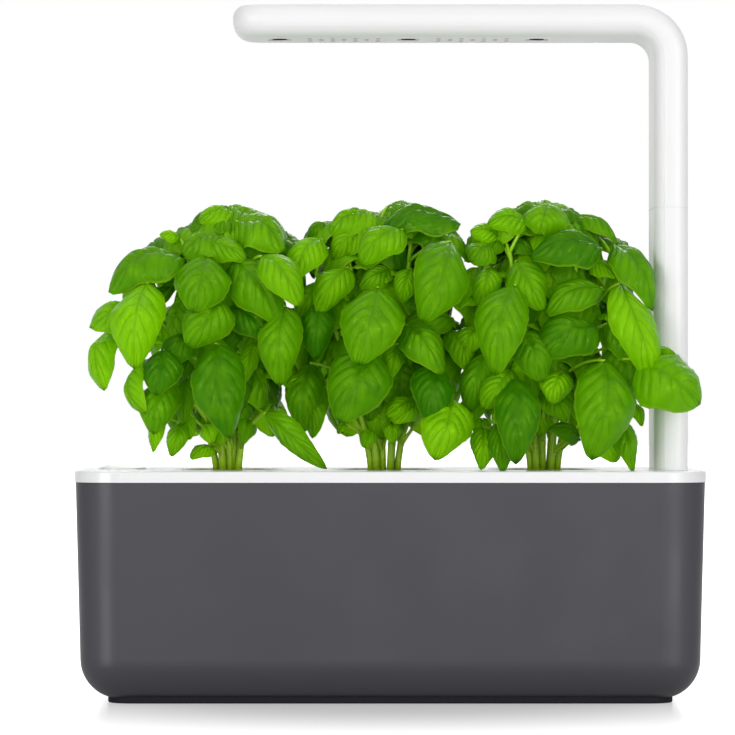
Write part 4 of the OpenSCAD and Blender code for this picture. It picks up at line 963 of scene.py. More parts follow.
def dress(material: Material, *nodes: str) -> None:
    """Gives CAD nodes a finish.

    Args:
        material: the finish.
        nodes: the nodes' names.
    """
    for name in nodes:
        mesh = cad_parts[name].data
        mesh.materials.clear()
        mesh.materials.append(material)
        mesh.polygons.foreach_set("material_index", [0] * len(mesh.polygons))
        log.info("%s takes %s", name, material.name)


# ------------------------------------------------------------------ plants


@dataclass(frozen=True)
class Stem:
    """A stem: its foot on the soil from the pod's axis, and its top."""

    foot: tuple[float, float]
    top: Point


@dataclass(frozen=True)
class Leaf:
    """A leaf: its stem's number, base, tip, width, the way its upper side looks, and its tone.

    A tone below 0 is left to chance.
    """

    stem: int
    base: Point
    tip: Point
    width: float
    face: Point
    tone: float = -1.0


LEFT_STEMS = (
    Stem((-5.5, -2), (-38, -13, 202)),
    Stem((-2.5, -5), (-19, -20, 214)),
    Stem((0.5, -3), (-5, -14, 222)),
    Stem((2.5, -1), (9, -15, 226)),
    Stem((5, -3), (21, -12, 196)),
    Stem((-0.5, 4), (-9, 22, 216)),
    Stem((2.5, 5), (12, 26, 206)),
)
LEFT_LEAVES = (
    Leaf(0, (-20, -24, 212), (-58, -28, 201), 27, (-0.25, -0.6, 0.75), 0.3),
    Leaf(0, (-38, -36, 200), (-43, -56, 162), 24, (0, -1, 0.35), 0.95),
    Leaf(0, (-43, -20, 186), (-64, -36, 182), 23, (-0.5, -0.8, 0.3)),
    Leaf(0, (-51, -16, 180), (-62, -36, 152), 19, (-0.7, -0.7, 0.2), 0.9),
    Leaf(0, (-41, -30, 163), (-42, -46, 139), 15, (-0.8, -0.6, 0)),
    Leaf(1, (-30, -34, 168), (-33, -50, 149), 19, (-0.1, -1, 0.3), 0.05),
    Leaf(1, (-29, -26, 154), (-34, -46, 131), 20, (0, -1, 0.2), 0.3),
    Leaf(1, (-32, -18, 136), (-36, -30, 121), 8, (-0.3, -1, 0.2)),
    Leaf(1, (-22, -22, 133), (-26, -34, 119), 10, (0, -1, 0.3)),
    Leaf(1, (-20, -14, 137), (-18, -26, 127), 9, (0, -1, 0.4)),
    Leaf(2, (-5, -38, 171), (3, -58, 129), 25, (0.1, -1, 0.25), 0.12),
    Leaf(2, (-10, -30, 213), (-15, -50, 189), 26, (0, -1, 0.35), 0.35),
    Leaf(2, (-3, -28, 193), (-17, -46, 172), 22, (0, -1, 0.3), 0.45),
    Leaf(2, (-2, -20, 222), (-22, -26, 217), 22, (-0.2, -0.6, 0.8), 0.5),
    Leaf(2, (4, -4, 234), (-14, -12, 233), 14, (0, -0.6, 0.9)),
    Leaf(3, (4, -14, 231), (28, -26, 219), 27, (0.25, -0.7, 0.6), 0.55),
    Leaf(3, (-10, -24, 217), (9, -34, 213), 14, (0, -0.8, 0.6)),
    Leaf(3, (3, -26, 211), (25, -42, 184), 25, (0.1, -1, 0.4), 0.4),
    Leaf(3, (17, -36, 213), (36, -52, 192), 19, (0.2, -1, 0.4), 0.75),
    Leaf(3, (1, -20, 189), (21, -34, 174), 17, (0.1, -0.9, 0.4), 0.05),
    Leaf(4, (28, -30, 189), (26, -46, 153), 20, (0, -1, 0.2), 0.45),
    Leaf(4, (13, -18, 172), (10, -28, 154), 9, (0.2, -1, 0.2)),
    Leaf(1, (-19, -22, 176), (-28, -38, 163), 16, (0, -1, 0.3)),
    Leaf(2, (-19, -20, 155), (-20, -32, 134), 11, (0, -1, 0.2)),
    Leaf(1, (-23, -10, 222), (-32, -14, 225), 7, (0, -0.8, 0.6)),
    Leaf(2, (-11, -18, 132), (-7, -28, 125), 9, (0, -1, 0.4)),
    Leaf(1, (-7, -14, 121), (-17, -24, 118), 9, (-0.2, -0.8, 0.5)),
    Leaf(3, (-1, -12, 131), (-4, -26, 124), 10, (0, -1, 0.3)),
    Leaf(4, (11, -14, 135), (8, -28, 125), 9, (0, -1, 0.3)),
    Leaf(4, (19, -40, 138), (46, -56, 112.5), 12, (-0.3, -0.9, 0.1), 0.35),
)

MIDDLE_STEMS = (
    Stem((-7, -2), (-34, -12, 206)),
    Stem((-4.5, -4), (-20, -14, 224)),
    Stem((-1.5, -2), (-5, -14, 224)),
    Stem((2, -4), (13, -14, 228)),
    Stem((5.5, -1), (27, -12, 200)),
    Stem((-2, 4), (-12, 24, 214)),
    Stem((2.5, 5), (13, 26, 206)),
)
MIDDLE_LEAVES = (
    Leaf(0, (-31, -16, 222), (-44, -30, 205), 18, (-0.2, -0.9, 0.4)),
    Leaf(1, (-27, -2, 229), (-38, -6, 224), 10, (-0.2, -0.7, 0.7)),
    Leaf(1, (-8, -4, 234), (-28, -12, 227), 17, (-0.1, -0.6, 0.8)),
    Leaf(3, (36, -16, 229), (-4, -20, 229), 23, (0, -0.55, 0.85), 0.1),
    Leaf(1, (-11, -8, 227), (-26, -16, 213), 14, (-0.1, -0.9, 0.4)),
    Leaf(2, (8, -26, 226), (-12, -38, 212), 19, (-0.1, -0.9, 0.5), 0.65),
    Leaf(3, (31, -30, 220), (18, -50, 184), 26, (0.1, -1, 0.3), 0.4),
    Leaf(2, (-4, -36, 198), (-13, -58, 164), 29, (-0.05, -1, 0.3), 0.45),
    Leaf(1, (-8, -32, 169), (-22, -54, 137), 30, (-0.1, -1, 0.25), 0.25),
    Leaf(0, (-33, -22, 191), (-34, -36, 166), 17, (-0.2, -1, 0.2), 0.0),
    Leaf(0, (-18, -20, 208), (-32, -34, 187), 16, (0, -1, 0.3)),
    Leaf(2, (3, -16, 207), (-13, -24, 200), 13, (0, -0.8, 0.6)),
    Leaf(3, (12, -22, 207), (7, -34, 192), 11, (0, -1, 0.3)),
    Leaf(3, (33, -14, 182), (10, -22, 184), 14, (0, -0.8, 0.6)),
    Leaf(4, (10, -26, 180), (27, -46, 160), 20, (0.2, -1, 0.5), 0.4),
    Leaf(2, (6, -24, 171), (2, -36, 156), 10, (0, -1, 0.2)),
    Leaf(4, (25, -28, 162), (22, -46, 135), 20, (0.1, -1, 0.2), 0.0),
    Leaf(4, (30, -30, 145), (24, -52, 119), 24, (0.1, -1, 0.2), 0.85),
    Leaf(0, (-30, -14, 151), (-36, -28, 128), 13, (-0.2, -1, 0.2)),
    Leaf(0, (-35, -16, 158), (-47, -26, 144), 13, (-0.2, -0.9, 0.4)),
    Leaf(0, (-37, -14, 162), (-40, -30, 131), 18, (-0.1, -1, 0.2), 0.3),
    Leaf(0, (-30, -12, 202), (-43, -22, 186), 15, (-0.2, -0.9, 0.4), 0.5),
    Leaf(4, (30, -12, 178), (40, -24, 160), 14, (0.2, -0.9, 0.4), 0.6),
    Leaf(3, (14, -20, 144), (1, -30, 138), 10, (0, -1, 0.3)),
    Leaf(2, (3, -16, 134), (3, -28, 125), 9, (0, -1, 0.4)),
    Leaf(2, (-6, -14, 129), (-10, -26, 123), 9, (0, -1, 0.4)),
    Leaf(1, (-19, -12, 132), (-23, -18, 129), 5, (0, -0.7, 0.7)),
    Leaf(4, (16, -18, 143), (4, -30, 135), 12, (0, -1, 0.3)),
)

RIGHT_STEMS = (
    Stem((-6, -2), (-30, -12, 204)),
    Stem((-3.5, -4), (-17, -17, 216)),
    Stem((-0.5, -2), (0, -12, 230)),
    Stem((3.5, -4), (17, -17, 220)),
    Stem((6.5, -2), (33, -14, 214)),
    Stem((-1.5, 5), (-12, 24, 212)),
    Stem((3, 5), (14, 26, 206)),
)
RIGHT_LEAVES = (
    Leaf(2, (2, -14, 239), (-2, -26, 225), 22, (0, -0.9, 0.5), 0.6),
    Leaf(1, (-8, -18, 230), (-27, -24, 231), 14, (-0.1, -0.8, 0.6), 0.55),
    Leaf(0, (-22, -12, 223), (-35, -16, 227), 12, (-0.1, -0.8, 0.6)),
    Leaf(0, (-26, -16, 218), (-35, -28, 212), 15, (-0.1, -1, 0.4)),
    Leaf(3, (27, -26, 217), (-7, -34, 217), 24, (0, -0.65, 0.75), 0.05),
    Leaf(3, (13, -2, 232), (37, -8, 223), 13, (0.1, -0.5, 0.9)),
    Leaf(4, (34, -16, 219), (53, -38, 191), 20, (0.45, -0.8, 0.4), 0.3),
    Leaf(4, (36, -28, 200), (51, -50, 155), 21, (0.25, -1, 0.3), 0.9),
    Leaf(4, (44, -42, 163), (73, -52, 145), 31, (0.1, -1, 0.5), 0.5),
    Leaf(4, (52, -36, 167), (61, -40, 167), 5, (0, -1, 0.3)),
    Leaf(3, (28, -36, 163), (22, -58, 119), 28, (0.1, -1, 0.2), 0.4),
    Leaf(3, (25, -30, 179), (-4, -44, 169), 24, (0, -0.9, 0.5), 0.15),
    Leaf(3, (27, -26, 198), (0, -38, 188), 18, (0, -0.8, 0.6), 0.4),
    Leaf(1, (-15, -38, 199), (-25, -58, 159), 24, (-0.1, -1, 0.25), 0.45),
    Leaf(2, (-12, -32, 177), (-2, -46, 155), 19, (0.1, -1, 0.3)),
    Leaf(1, (-16, -28, 159), (-30, -40, 142), 16, (-0.1, -1, 0.3)),
    Leaf(1, (-16, -34, 155), (-15, -56, 117), 21, (0, -1, 0.2), 0.1),
    Leaf(2, (8, -26, 158), (3, -38, 144), 15, (0, -1, 0.2)),
    Leaf(2, (0, -20, 147), (10, -30, 136), 13, (0.1, -1, 0.3)),
    Leaf(1, (-30, -24, 131), (-31, -38, 113), 12, (0, -1, 0.2)),
    Leaf(1, (-24, -26, 133), (-21, -44, 112.5), 13, (0, -1, 0.1)),
    Leaf(3, (17, -18, 125), (3, -26, 132), 12, (0, -0.8, 0.6)),
    Leaf(4, (36, -26, 134), (42, -42, 112.5), 11, (0.2, -1, 0.2)),
    Leaf(4, (41, -16, 143), (47, -24, 133), 7, (0.3, -1, 0.3)),
    Leaf(3, (26, -22, 133), (33, -38, 117), 16, (0, -1, 0.3)),
    Leaf(0, (-27, -20, 208), (-32, -32, 191), 13, (-0.1, -1, 0.3)),
    Leaf(1, (-14, -24, 211), (-1, -38, 189), 20, (0.1, -1, 0.4)),
    Leaf(4, (22, -14, 209), (34, -24, 205), 11, (0.1, -0.8, 0.6)),
    Leaf(1, (-22, -8, 221), (-28, -20, 214), 9, (-0.1, -0.9, 0.4)),
    Leaf(1, (-17, -8, 219), (-6, -18, 217), 11, (0.1, -0.8, 0.5)),
    Leaf(0, (-30, -14, 135), (-32, -26, 128), 9, (0, -0.9, 0.5)),
    Leaf(4, (30, -22, 181), (46, -36, 163), 18, (0.2, -1, 0.4)),
    Leaf(4, (33, -20, 170), (39, -36, 143), 18, (0.2, -1, 0.3), 0.35),
    Leaf(0, (-30, -14, 180), (-40, -24, 168), 14, (-0.2, -1, 0.3)),
    Leaf(0, (-28, -16, 168), (-37, -32, 141), 18, (-0.2, -1, 0.2), 0.3),
    Leaf(0, (-32, -12, 150), (-40, -22, 131), 13, (-0.2, -1, 0.3), 0.5),
)

# Each crown's top line: place along the tray from the pod's axis, and height
LEFT_SKYLINE = (
    (-60.0, 208.0), (-41.0, 219.0), (-30.0, 226.0), (-18.0, 227.0), (-12.0, 234.0),
    (0.0, 239.0), (11.0, 235.0), (23.0, 231.0), (34.0, 221.0), (46.0, 221.0),
)
MIDDLE_SKYLINE = (
    (-44.0, 226.0), (-36.0, 229.0), (-24.0, 233.0), (-13.0, 235.0), (-1.0, 233.0),
    (5.0, 238.0), (16.0, 241.0), (28.0, 239.0), (39.0, 231.0), (46.0, 226.0),
)
RIGHT_SKYLINE = (
    (-44.0, 228.0), (-31.0, 232.0), (-19.0, 233.0), (-8.0, 239.0), (-2.0, 241.0),
    (10.0, 238.0), (21.0, 231.0), (33.0, 227.0), (45.0, 213.0), (51.0, 206.0),
)

# Rings of leaves round the back of each plant: height, reach, and angles from +X
BACK_RINGS = (
    (232, 34, (60, 115)),
    (216, 46, (45, 90, 135)),
    (192, 58, (68, 112)),
    (170, 52, (50, 90, 130)),
    (146, 50, (64, 114)),
)

# Rings of leaves inside each crown: height, share of its reach, count, and how far the leaves hang
CROWN_RINGS = (
    (236, 0.55, 9, 0.25),
    (229, 0.84, 14, 0.35),
    (217, 1.0, 16, 0.5),
    (202, 1.02, 16, 0.62),
    (187, 1.0, 16, 0.72),
    (171, 0.97, 15, 0.8),
    (155, 0.84, 12, 0.85),
    (141, 0.66, 9, 0.85),
)


@dataclass(frozen=True)
class LeafAxes:
    """Where a leaf lies: its base, the way to its tip, its two cross directions and its full width."""

    base: Vector
    chord: Vector
    side: Vector
    up: Vector
    width: float

    @classmethod
    def of(cls, leaf: Leaf, fullness: float) -> "LeafAxes":
        """Works out a leaf's directions.

        Args:
            leaf: where the leaf is.
            fullness: how much wider than listed it is drawn.

        Returns:
            Its axes.
        """
        base = Vector(leaf.base)
        chord = Vector(leaf.tip) - base
        side = chord.normalized().cross(Vector(leaf.face)).normalized()
        up = side.cross(chord.normalized()).normalized()
        return cls(base, chord, side, up, leaf.width * fullness)


@dataclass
class LeafShape:
    """How a leaf is drawn: a dome with sunk veins, puckers between them and a wavy rim."""

    rows: int = 22
    columns: int = 12
    belly: float = 0.82
    bluntness: float = 0.66
    tip_taper: float = 0.08
    taper_power: int = 6
    arch: float = 0.21
    hook: float = 0.16
    curl: float = 0.32
    curl_power: float = 2.2
    fullness: float = 1.06
    thickness: float = 0.42
    pucker: float = 0.06
    pucker_start: float = 0.2
    pucker_roundness: float = 0.8
    pucker_fade: float = 0.4
    pucker_end: float = 0.999
    midrib: float = 0.05
    midrib_w: float = 0.09
    wave: float = 0.05
    waves: float = 13.0
    wave_lag: float = 2.0
    tooth: float = 0.02
    teeth: float = 46.0
    tooth_power: int = 8
    swell: float = 0.1
    swell_scale: float = 0.055
    swell_across: float = 9.0
    swell_along: float = 1.7
    twist: float = 0.32
    twist_seed: float = 1.7
    bend: float = 0.05
    bend_seed: float = 2.3

    def outline(self, u: float) -> float:
        """Returns the half width at a share of the length, as a share of its greatest."""
        taper = 1.0 - self.tip_taper * u**self.taper_power
        return math.sin(math.pi * u**self.belly) ** self.bluntness * taper

    def relief(self, u: float, v: float, seed: float) -> float:
        """Works out the height of the blade's small forms, as a share of the leaf's width.

        Args:
            u: share of the length.
            v: share of the half width, negative on one side.
            seed: shifts the waves from leaf to leaf.

        Returns:
            The height.
        """
        side = abs(v)
        phase = ((u - VEIN_SWEEP * side) * VEIN_PAIRS) % 1.0
        inner = min(side / self.pucker_start, 1.0) * (1.0 - side**2)
        ends = math.sin(math.pi * min(u, self.pucker_end)) ** self.pucker_fade
        puckers = self.pucker * math.sin(math.pi * phase) ** self.pucker_roundness * inner * ends
        groove = -self.midrib * math.exp(-((side / self.midrib_w) ** 2))
        rim = self.wave * side**3 * math.sin(seed + self.waves * u + (self.wave_lag if v > 0 else 0.0))
        return puckers + groove + rim

    def row(self, skin: Skin, axes: LeafAxes, u: float, growth: Point, seed: float) -> list[int]:
        """Adds one row of points across one side of the blade.

        Args:
            skin: the piece's mesh.
            axes: where the leaf lies.
            u: the row's share of the length.
            growth: its tone, underside and youth.
            seed: shifts the leaf's waves.

        Returns:
            The points' numbers.
        """
        base, chord, side, up, width = axes.base, axes.chord, axes.side, axes.up, axes.width
        length, full, below = chord.length, self.outline(u), growth[1]
        rise = self.arch * length * 4 * u * (1 - u) - self.hook * length * max(u - 0.5, 0.0) ** 2 * 4
        angle = self.twist * math.sin(seed * self.twist_seed) * (2 * u - 1)
        bowed = self.bend * length * math.sin(seed * self.bend_seed)
        across = side * math.cos(angle) + up * math.sin(angle)
        over = up * math.cos(angle) - side * math.sin(angle)
        spine = base + chord * u + side * (bowed * math.sin(math.pi * u))
        row = []
        for k in range(self.columns + 1):
            v = 2 * k / self.columns - 1
            drop = self.curl * width * abs(v) ** self.curl_power * full
            small = self.relief(u, v, seed) * width * full
            where = base + side * v * self.swell_across + chord * u * self.swell_along
            rough = noise.noise(where * self.swell_scale) * self.swell * width
            edge = 1.0 + self.tooth * math.sin(seed + self.teeth * u) * abs(v) ** self.tooth_power
            at = (spine + across * (width / 2 * full * v * edge) + up * rise
                  + over * (small + rough * full - drop - below * self.thickness))
            row.append(skin.point(at, (u, (v + 1) / 2), growth))
        return row

    def side_faces(self, rows: Sequence[Sequence[int]], root: int, end: int) -> Iterable[tuple[int, ...]]:
        """Yields the faces of one side of the blade, wound for the upper side.

        Args:
            rows: the side's rows of points.
            root: the point at the leaf's base.
            end: the point at its tip.
        """
        for first, second in zip(rows, rows[1:]):
            for k in range(self.columns):
                yield first[k], first[k + 1], second[k + 1]
                yield first[k], second[k + 1], second[k]
        for k in range(self.columns):
            yield root, rows[0][k + 1], rows[0][k]
            yield end, rows[-1][k], rows[-1][k + 1]

    @staticmethod
    def rim_faces(top: Sequence[Sequence[int]], under: Sequence[Sequence[int]], root: int,
                  end: int) -> Iterable[tuple[int, ...]]:
        """Yields the faces of the thin rim that joins both sides.

        Args:
            top: the upper side's rows of points.
            under: the under side's rows.
            root: the point at the leaf's base.
            end: the point at its tip.
        """
        for column in (0, -1):
            line = [(a[column], b[column]) for a, b in zip(top, under)]
            for (a, b), (c, d) in zip(line, line[1:]):
                yield (a, c, d, b) if column == 0 else (a, b, d, c)
            (near_top, near_under), (far_top, far_under) = line[0], line[-1]
            yield (root, near_top, near_under) if column == 0 else (root, near_under, near_top)
            yield (end, far_under, far_top) if column == 0 else (end, far_top, far_under)

    def add(self, skin: Skin, leaf: Leaf, tone: float, youth: float, seed: float) -> None:
        """Adds one closed leaf to a piece.

        Args:
            skin: the piece's mesh.
            leaf: where the leaf is.
            tone: how bright it is, from 0 to 1.
            youth: how young it is, from 0 to 1.
            seed: shifts its waves.
        """
        axes = LeafAxes.of(leaf, self.fullness)
        top, under = ([self.row(skin, axes, i / self.rows, (tone, below, youth), seed)
                       for i in range(1, self.rows)] for below in (0.0, 1.0))
        growth = (tone, 0.0, youth)
        root = skin.point(leaf.base, (0.0, 0.5), growth)
        end = skin.point(Vector(leaf.tip) - axes.up * (self.hook * axes.chord.length), (1.0, 0.5), growth)
        skin.faces.extend(self.side_faces(top, root, end))
        skin.faces.extend(face[::-1] for face in self.side_faces(under, root, end))
        skin.faces.extend(self.rim_faces(top, under, root, end))


@dataclass
class BasilPlant:
    """One basil plant: ribbed stems, stalks, listed leaves, back leaves and young shoots."""

    side: Side
    axis_x: float
    stems: tuple[Stem, ...]
    leaves: tuple[Leaf, ...]
    spread: tuple[float, float]
    skyline: tuple[Place, ...]
    depth: tuple[float, float] = (22.0, 48.0)
    shape: LeafShape = field(default_factory=LeafShape)
    inner_shape: LeafShape = field(default_factory=lambda: LeafShape(rows=18, columns=10, fullness=1.17))
    tones: tuple[float, float] = (0.05, 0.9)
    most_seed: float = 6.28
    grown_width: float = 18.0

    # Stems, and the stalks that leave them
    soil_z: float = 109.7
    foot_r: float = 1.8
    top_r: float = 0.95
    lean: float = 1.3
    stem_rings: int = 16
    stem_sides: int = 10
    stem_clear: float = 6.0
    stem_tip: float = 1.0
    stalk_r: float = 0.72
    stalk_base: float = 1.25
    stalk_taper: float = 0.35
    stalk_rings: int = 7
    stalk_sides: int = 7
    stalk_drop: float = 9.0
    stalk_rise: float = 0.18
    low_leaves: float = 160.0
    low_share: float = 0.2

    # Leaves round the back, as shares of their ring's reach
    back_base_share: float = 0.34
    back_drop_share: float = 0.3
    back_width_share: float = 0.62
    back_stem_split: float = 90.0
    back_stems: tuple[int, int] = (5, 6)

    # Young shoots along the stems
    shoot_pairs: int = 3
    shoot_from: float = 0.45
    shoot_span: float = 0.5
    shoot_stray: float = 0.6
    shoot_flatness: float = 0.8
    shoot_length: tuple[float, float] = (9.0, 15.0)
    shoot_gap: tuple[float, float] = (2.0, 4.0)
    shoot_rise: float = 1.5
    shoot_hang: tuple[float, float] = (-4.0, 3.0)
    shoot_width_share: float = 0.58
    shoot_face_out: float = 0.3
    shoot_face_front: float = 0.2
    shoot_drop: float = 1.5
    shoot_stalk_share: float = 0.6
    shoot_youth: float = 0.9

    # Inner leaves that fill the crown
    inner_youth: float = 0.1
    inner_length: tuple[float, float] = (23.0, 33.0)
    inner_width_share: tuple[float, float] = (0.62, 0.76)
    inner_reach: tuple[float, float] = (0.7, 1.0)
    inner_turn: float = 0.3
    inner_stray: float = 6.0
    inner_rise: float = 0.22
    inner_face_front: float = 0.15
    inner_face_up: float = 1.05
    hang_stray: float = 0.18
    most_hang: float = 0.98
    small_ring: float = 0.7
    small_length: float = 0.75

    def stem_point(self, stem: Stem, z: float) -> Vector:
        """Works out the middle of a stem at a height: upright at its foot, leaning out above.

        Args:
            stem: the stem.
            z: the height.

        Returns:
            The point.
        """
        q = max((z - self.soil_z) / (stem.top[2] - self.soil_z), 0.0) ** self.lean
        return Vector((stem.foot[0] + q * (stem.top[0] - stem.foot[0]),
                       stem.foot[1] + q * (stem.top[1] - stem.foot[1]), z))

    def back_leaves(self) -> Iterable[Leaf]:
        """Yields the leaves of the rings round the plant's back."""
        for z, reach, angles in BACK_RINGS:
            for angle in angles:
                out = Vector((math.cos(math.radians(angle)), math.sin(math.radians(angle)), 0.0))
                base = Vector((0.0, 0.0, z)) + out * self.back_base_share * reach
                tip = Vector((0.0, 0.0, z - self.back_drop_share * reach)) + out * reach
                width = self.back_width_share * (tip - base).length
                stem = self.back_stems[1 if angle < self.back_stem_split else 0]
                yield Leaf(stem, tuple(base), tuple(tip), width, (out.x / 2, out.y / 2, 1.0))

    def shoots(self, dice: random.Random) -> Iterable[Leaf]:
        """Yields pairs of young leaves along the stems.

        Args:
            dice: the plant's seeded random numbers.
        """
        for number, stem in enumerate(self.stems):
            for level in range(self.shoot_pairs):
                step = level + dice.random() * self.shoot_stray
                share = self.shoot_from + self.shoot_span * step / self.shoot_pairs
                at = self.stem_point(stem, self.soil_z + share * (stem.top[2] - self.soil_z))
                turn = dice.uniform(0, FULL_TURN)
                for half in (0.0, math.pi):
                    out = Vector((math.cos(turn + half), math.sin(turn + half) * self.shoot_flatness, 0.0))
                    long = dice.uniform(*self.shoot_length)
                    base = at + out * dice.uniform(*self.shoot_gap) + Vector((0, 0, self.shoot_rise))
                    tip = base + out * long + Vector((0, 0, dice.uniform(*self.shoot_hang)))
                    face = (out.x * self.shoot_face_out,
                            out.y * self.shoot_face_out - self.shoot_face_front, 1.0)
                    yield Leaf(number, tuple(base), tuple(tip), long * self.shoot_width_share, face)

    def ceiling(self, x: float) -> float:
        """Works out the crown's height.

        Args:
            x: the place along the tray from the pod's axis.

        Returns:
            The height there.
        """
        for (x0, z0), (x1, z1) in zip(self.skyline, self.skyline[1:]):
            if x < x1:
                return z0 + (z1 - z0) * max(x - x0, 0.0) / (x1 - x0)
        return self.skyline[-1][1]

    def nearest_stem(self, base: Vector) -> int:
        """Returns the number of the stem whose top is nearest to a leaf's base."""
        return min(range(len(self.stems)), key=lambda i: (Vector(self.stems[i].top) - base).length)

    def crown_leaves(self, dice: random.Random) -> Iterable[Leaf]:
        """Yields the inner leaves that fill the crown all round.

        Args:
            dice: the plant's seeded random numbers.
        """
        for z, share, count, hang in CROWN_RINGS:
            start = dice.uniform(0, FULL_TURN)
            for k in range(count):
                angle = start + FULL_TURN * (k + dice.uniform(-self.inner_turn, self.inner_turn)) / count
                out = Vector((math.cos(angle), math.sin(angle), 0.0))
                wide = self.spread[1 if out.x > 0 else 0]
                deep = self.depth[1 if out.y > 0 else 0]
                reach = share * dice.uniform(*self.inner_reach) / math.hypot(out.x / wide, out.y / deep)
                long = dice.uniform(*self.inner_length)
                long *= self.small_length if share < self.small_ring else 1.0
                fall = min(hang + dice.uniform(-self.hang_stray, self.hang_stray), self.most_hang)
                stray = dice.uniform(-self.inner_stray, self.inner_stray)
                tip = out * reach + Vector((0, 0, z + stray - fall * long * 0.5))
                base = tip - out * (long * math.sqrt(1 - fall**2)) + Vector((0, 0, fall * long))
                middle = (base + tip) / 2
                top = max(base.z, middle.z + self.inner_rise * long)
                sink = Vector((0, 0, max(top - self.ceiling(middle.x), 0.0)))
                base, tip = base - sink, tip - sink
                width = long * dice.uniform(*self.inner_width_share)
                face = (out.x * fall, out.y * fall - self.inner_face_front, self.inner_face_up - fall)
                yield Leaf(self.nearest_stem(base), tuple(base), tuple(tip), width, face)

    def stalk_route(self, leaf: Leaf, young: bool) -> list[Vector]:
        """Works out a leaf's stalk, from its stem up to its base.

        Args:
            leaf: the leaf.
            young: whether it belongs to a shoot.

        Returns:
            The points along the stalk.
        """
        stem, leaf_z = self.stems[leaf.stem], leaf.base[2]
        lowest = self.soil_z + self.stem_clear
        low = lowest + self.low_share * max(leaf_z - self.soil_z - self.stem_clear, 0.0)
        tip_z = stem.top[2] - self.stem_tip
        high = min(leaf_z - self.stalk_drop, tip_z)
        root_z = max(lowest, low if leaf_z < self.low_leaves else high)
        if young:
            root_z = min(leaf_z - self.shoot_drop, tip_z)
        root, base = self.stem_point(stem, root_z), Vector(leaf.base)
        knee = (root + base) / 2 + Vector((0, 0, self.stalk_rise * (base - root).length))
        steps = [i / self.stalk_rings for i in range(self.stalk_rings + 1)]
        return [root * (1 - t) ** 2 + knee * (2 * t * (1 - t)) + base * t**2 for t in steps]

    def grow_stems(self, stalks: Skin) -> None:
        """Adds the stems.

        Args:
            stalks: the mesh of the stems and stalks.
        """
        for stem in self.stems:
            height = stem.top[2] - self.soil_z
            route = [self.stem_point(stem, self.soil_z + height * i / self.stem_rings)
                     for i in range(self.stem_rings + 1)]
            stalks.tube(route, lambda s: self.foot_r + (self.top_r - self.foot_r) * s, self.stem_sides)

    def build(self, palette: Palette) -> None:
        """Builds the plant's pieces.

        Args:
            palette: the finishes.
        """
        dice = random.Random(f"basil {self.side.value}")
        leaves, stalks = Skin(), Skin()
        self.grow_stems(stalks)
        grown = [(leaf, 0.0, self.shape) for leaf in (*self.leaves, *self.back_leaves())]
        grown += [(leaf, self.inner_youth, self.inner_shape) for leaf in self.crown_leaves(dice)]
        grown += [(leaf, self.shoot_youth, self.inner_shape) for leaf in self.shoots(dice)]
        for leaf, youth, shape in grown:
            young = youth == self.shoot_youth
            thick = self.stalk_r * self.shoot_stalk_share if young else self.stalk_r
            stalks.tube(self.stalk_route(leaf, young),
                        lambda s, r=thick: r * (self.stalk_base - self.stalk_taper * s), self.stalk_sides)
            small = 1.0 - min(leaf.width / self.grown_width, 1.0)
            chance = dice.uniform(*self.tones)
            tone = chance if leaf.tone < 0 else leaf.tone
            shape.add(leaves, leaf, tone, max(youth, small), dice.uniform(0, self.most_seed))
        shift = Vector((self.axis_x, 0.0, 0.0))
        for skin in (leaves, stalks):
            skin.points = [p + shift for p in skin.points]
        name, body = self.side.value, f"pod_{self.side.value}"
        settle(leaves.build(f"basil_leaves_{name}", palette[Finish.LEAF]), body, "leaf", f"basil_{name}")
        settle(stalks.build(f"basil_stems_{name}", palette[Finish.STEM]), body, "leaf")


# ------------------------------------------------------------------ pods


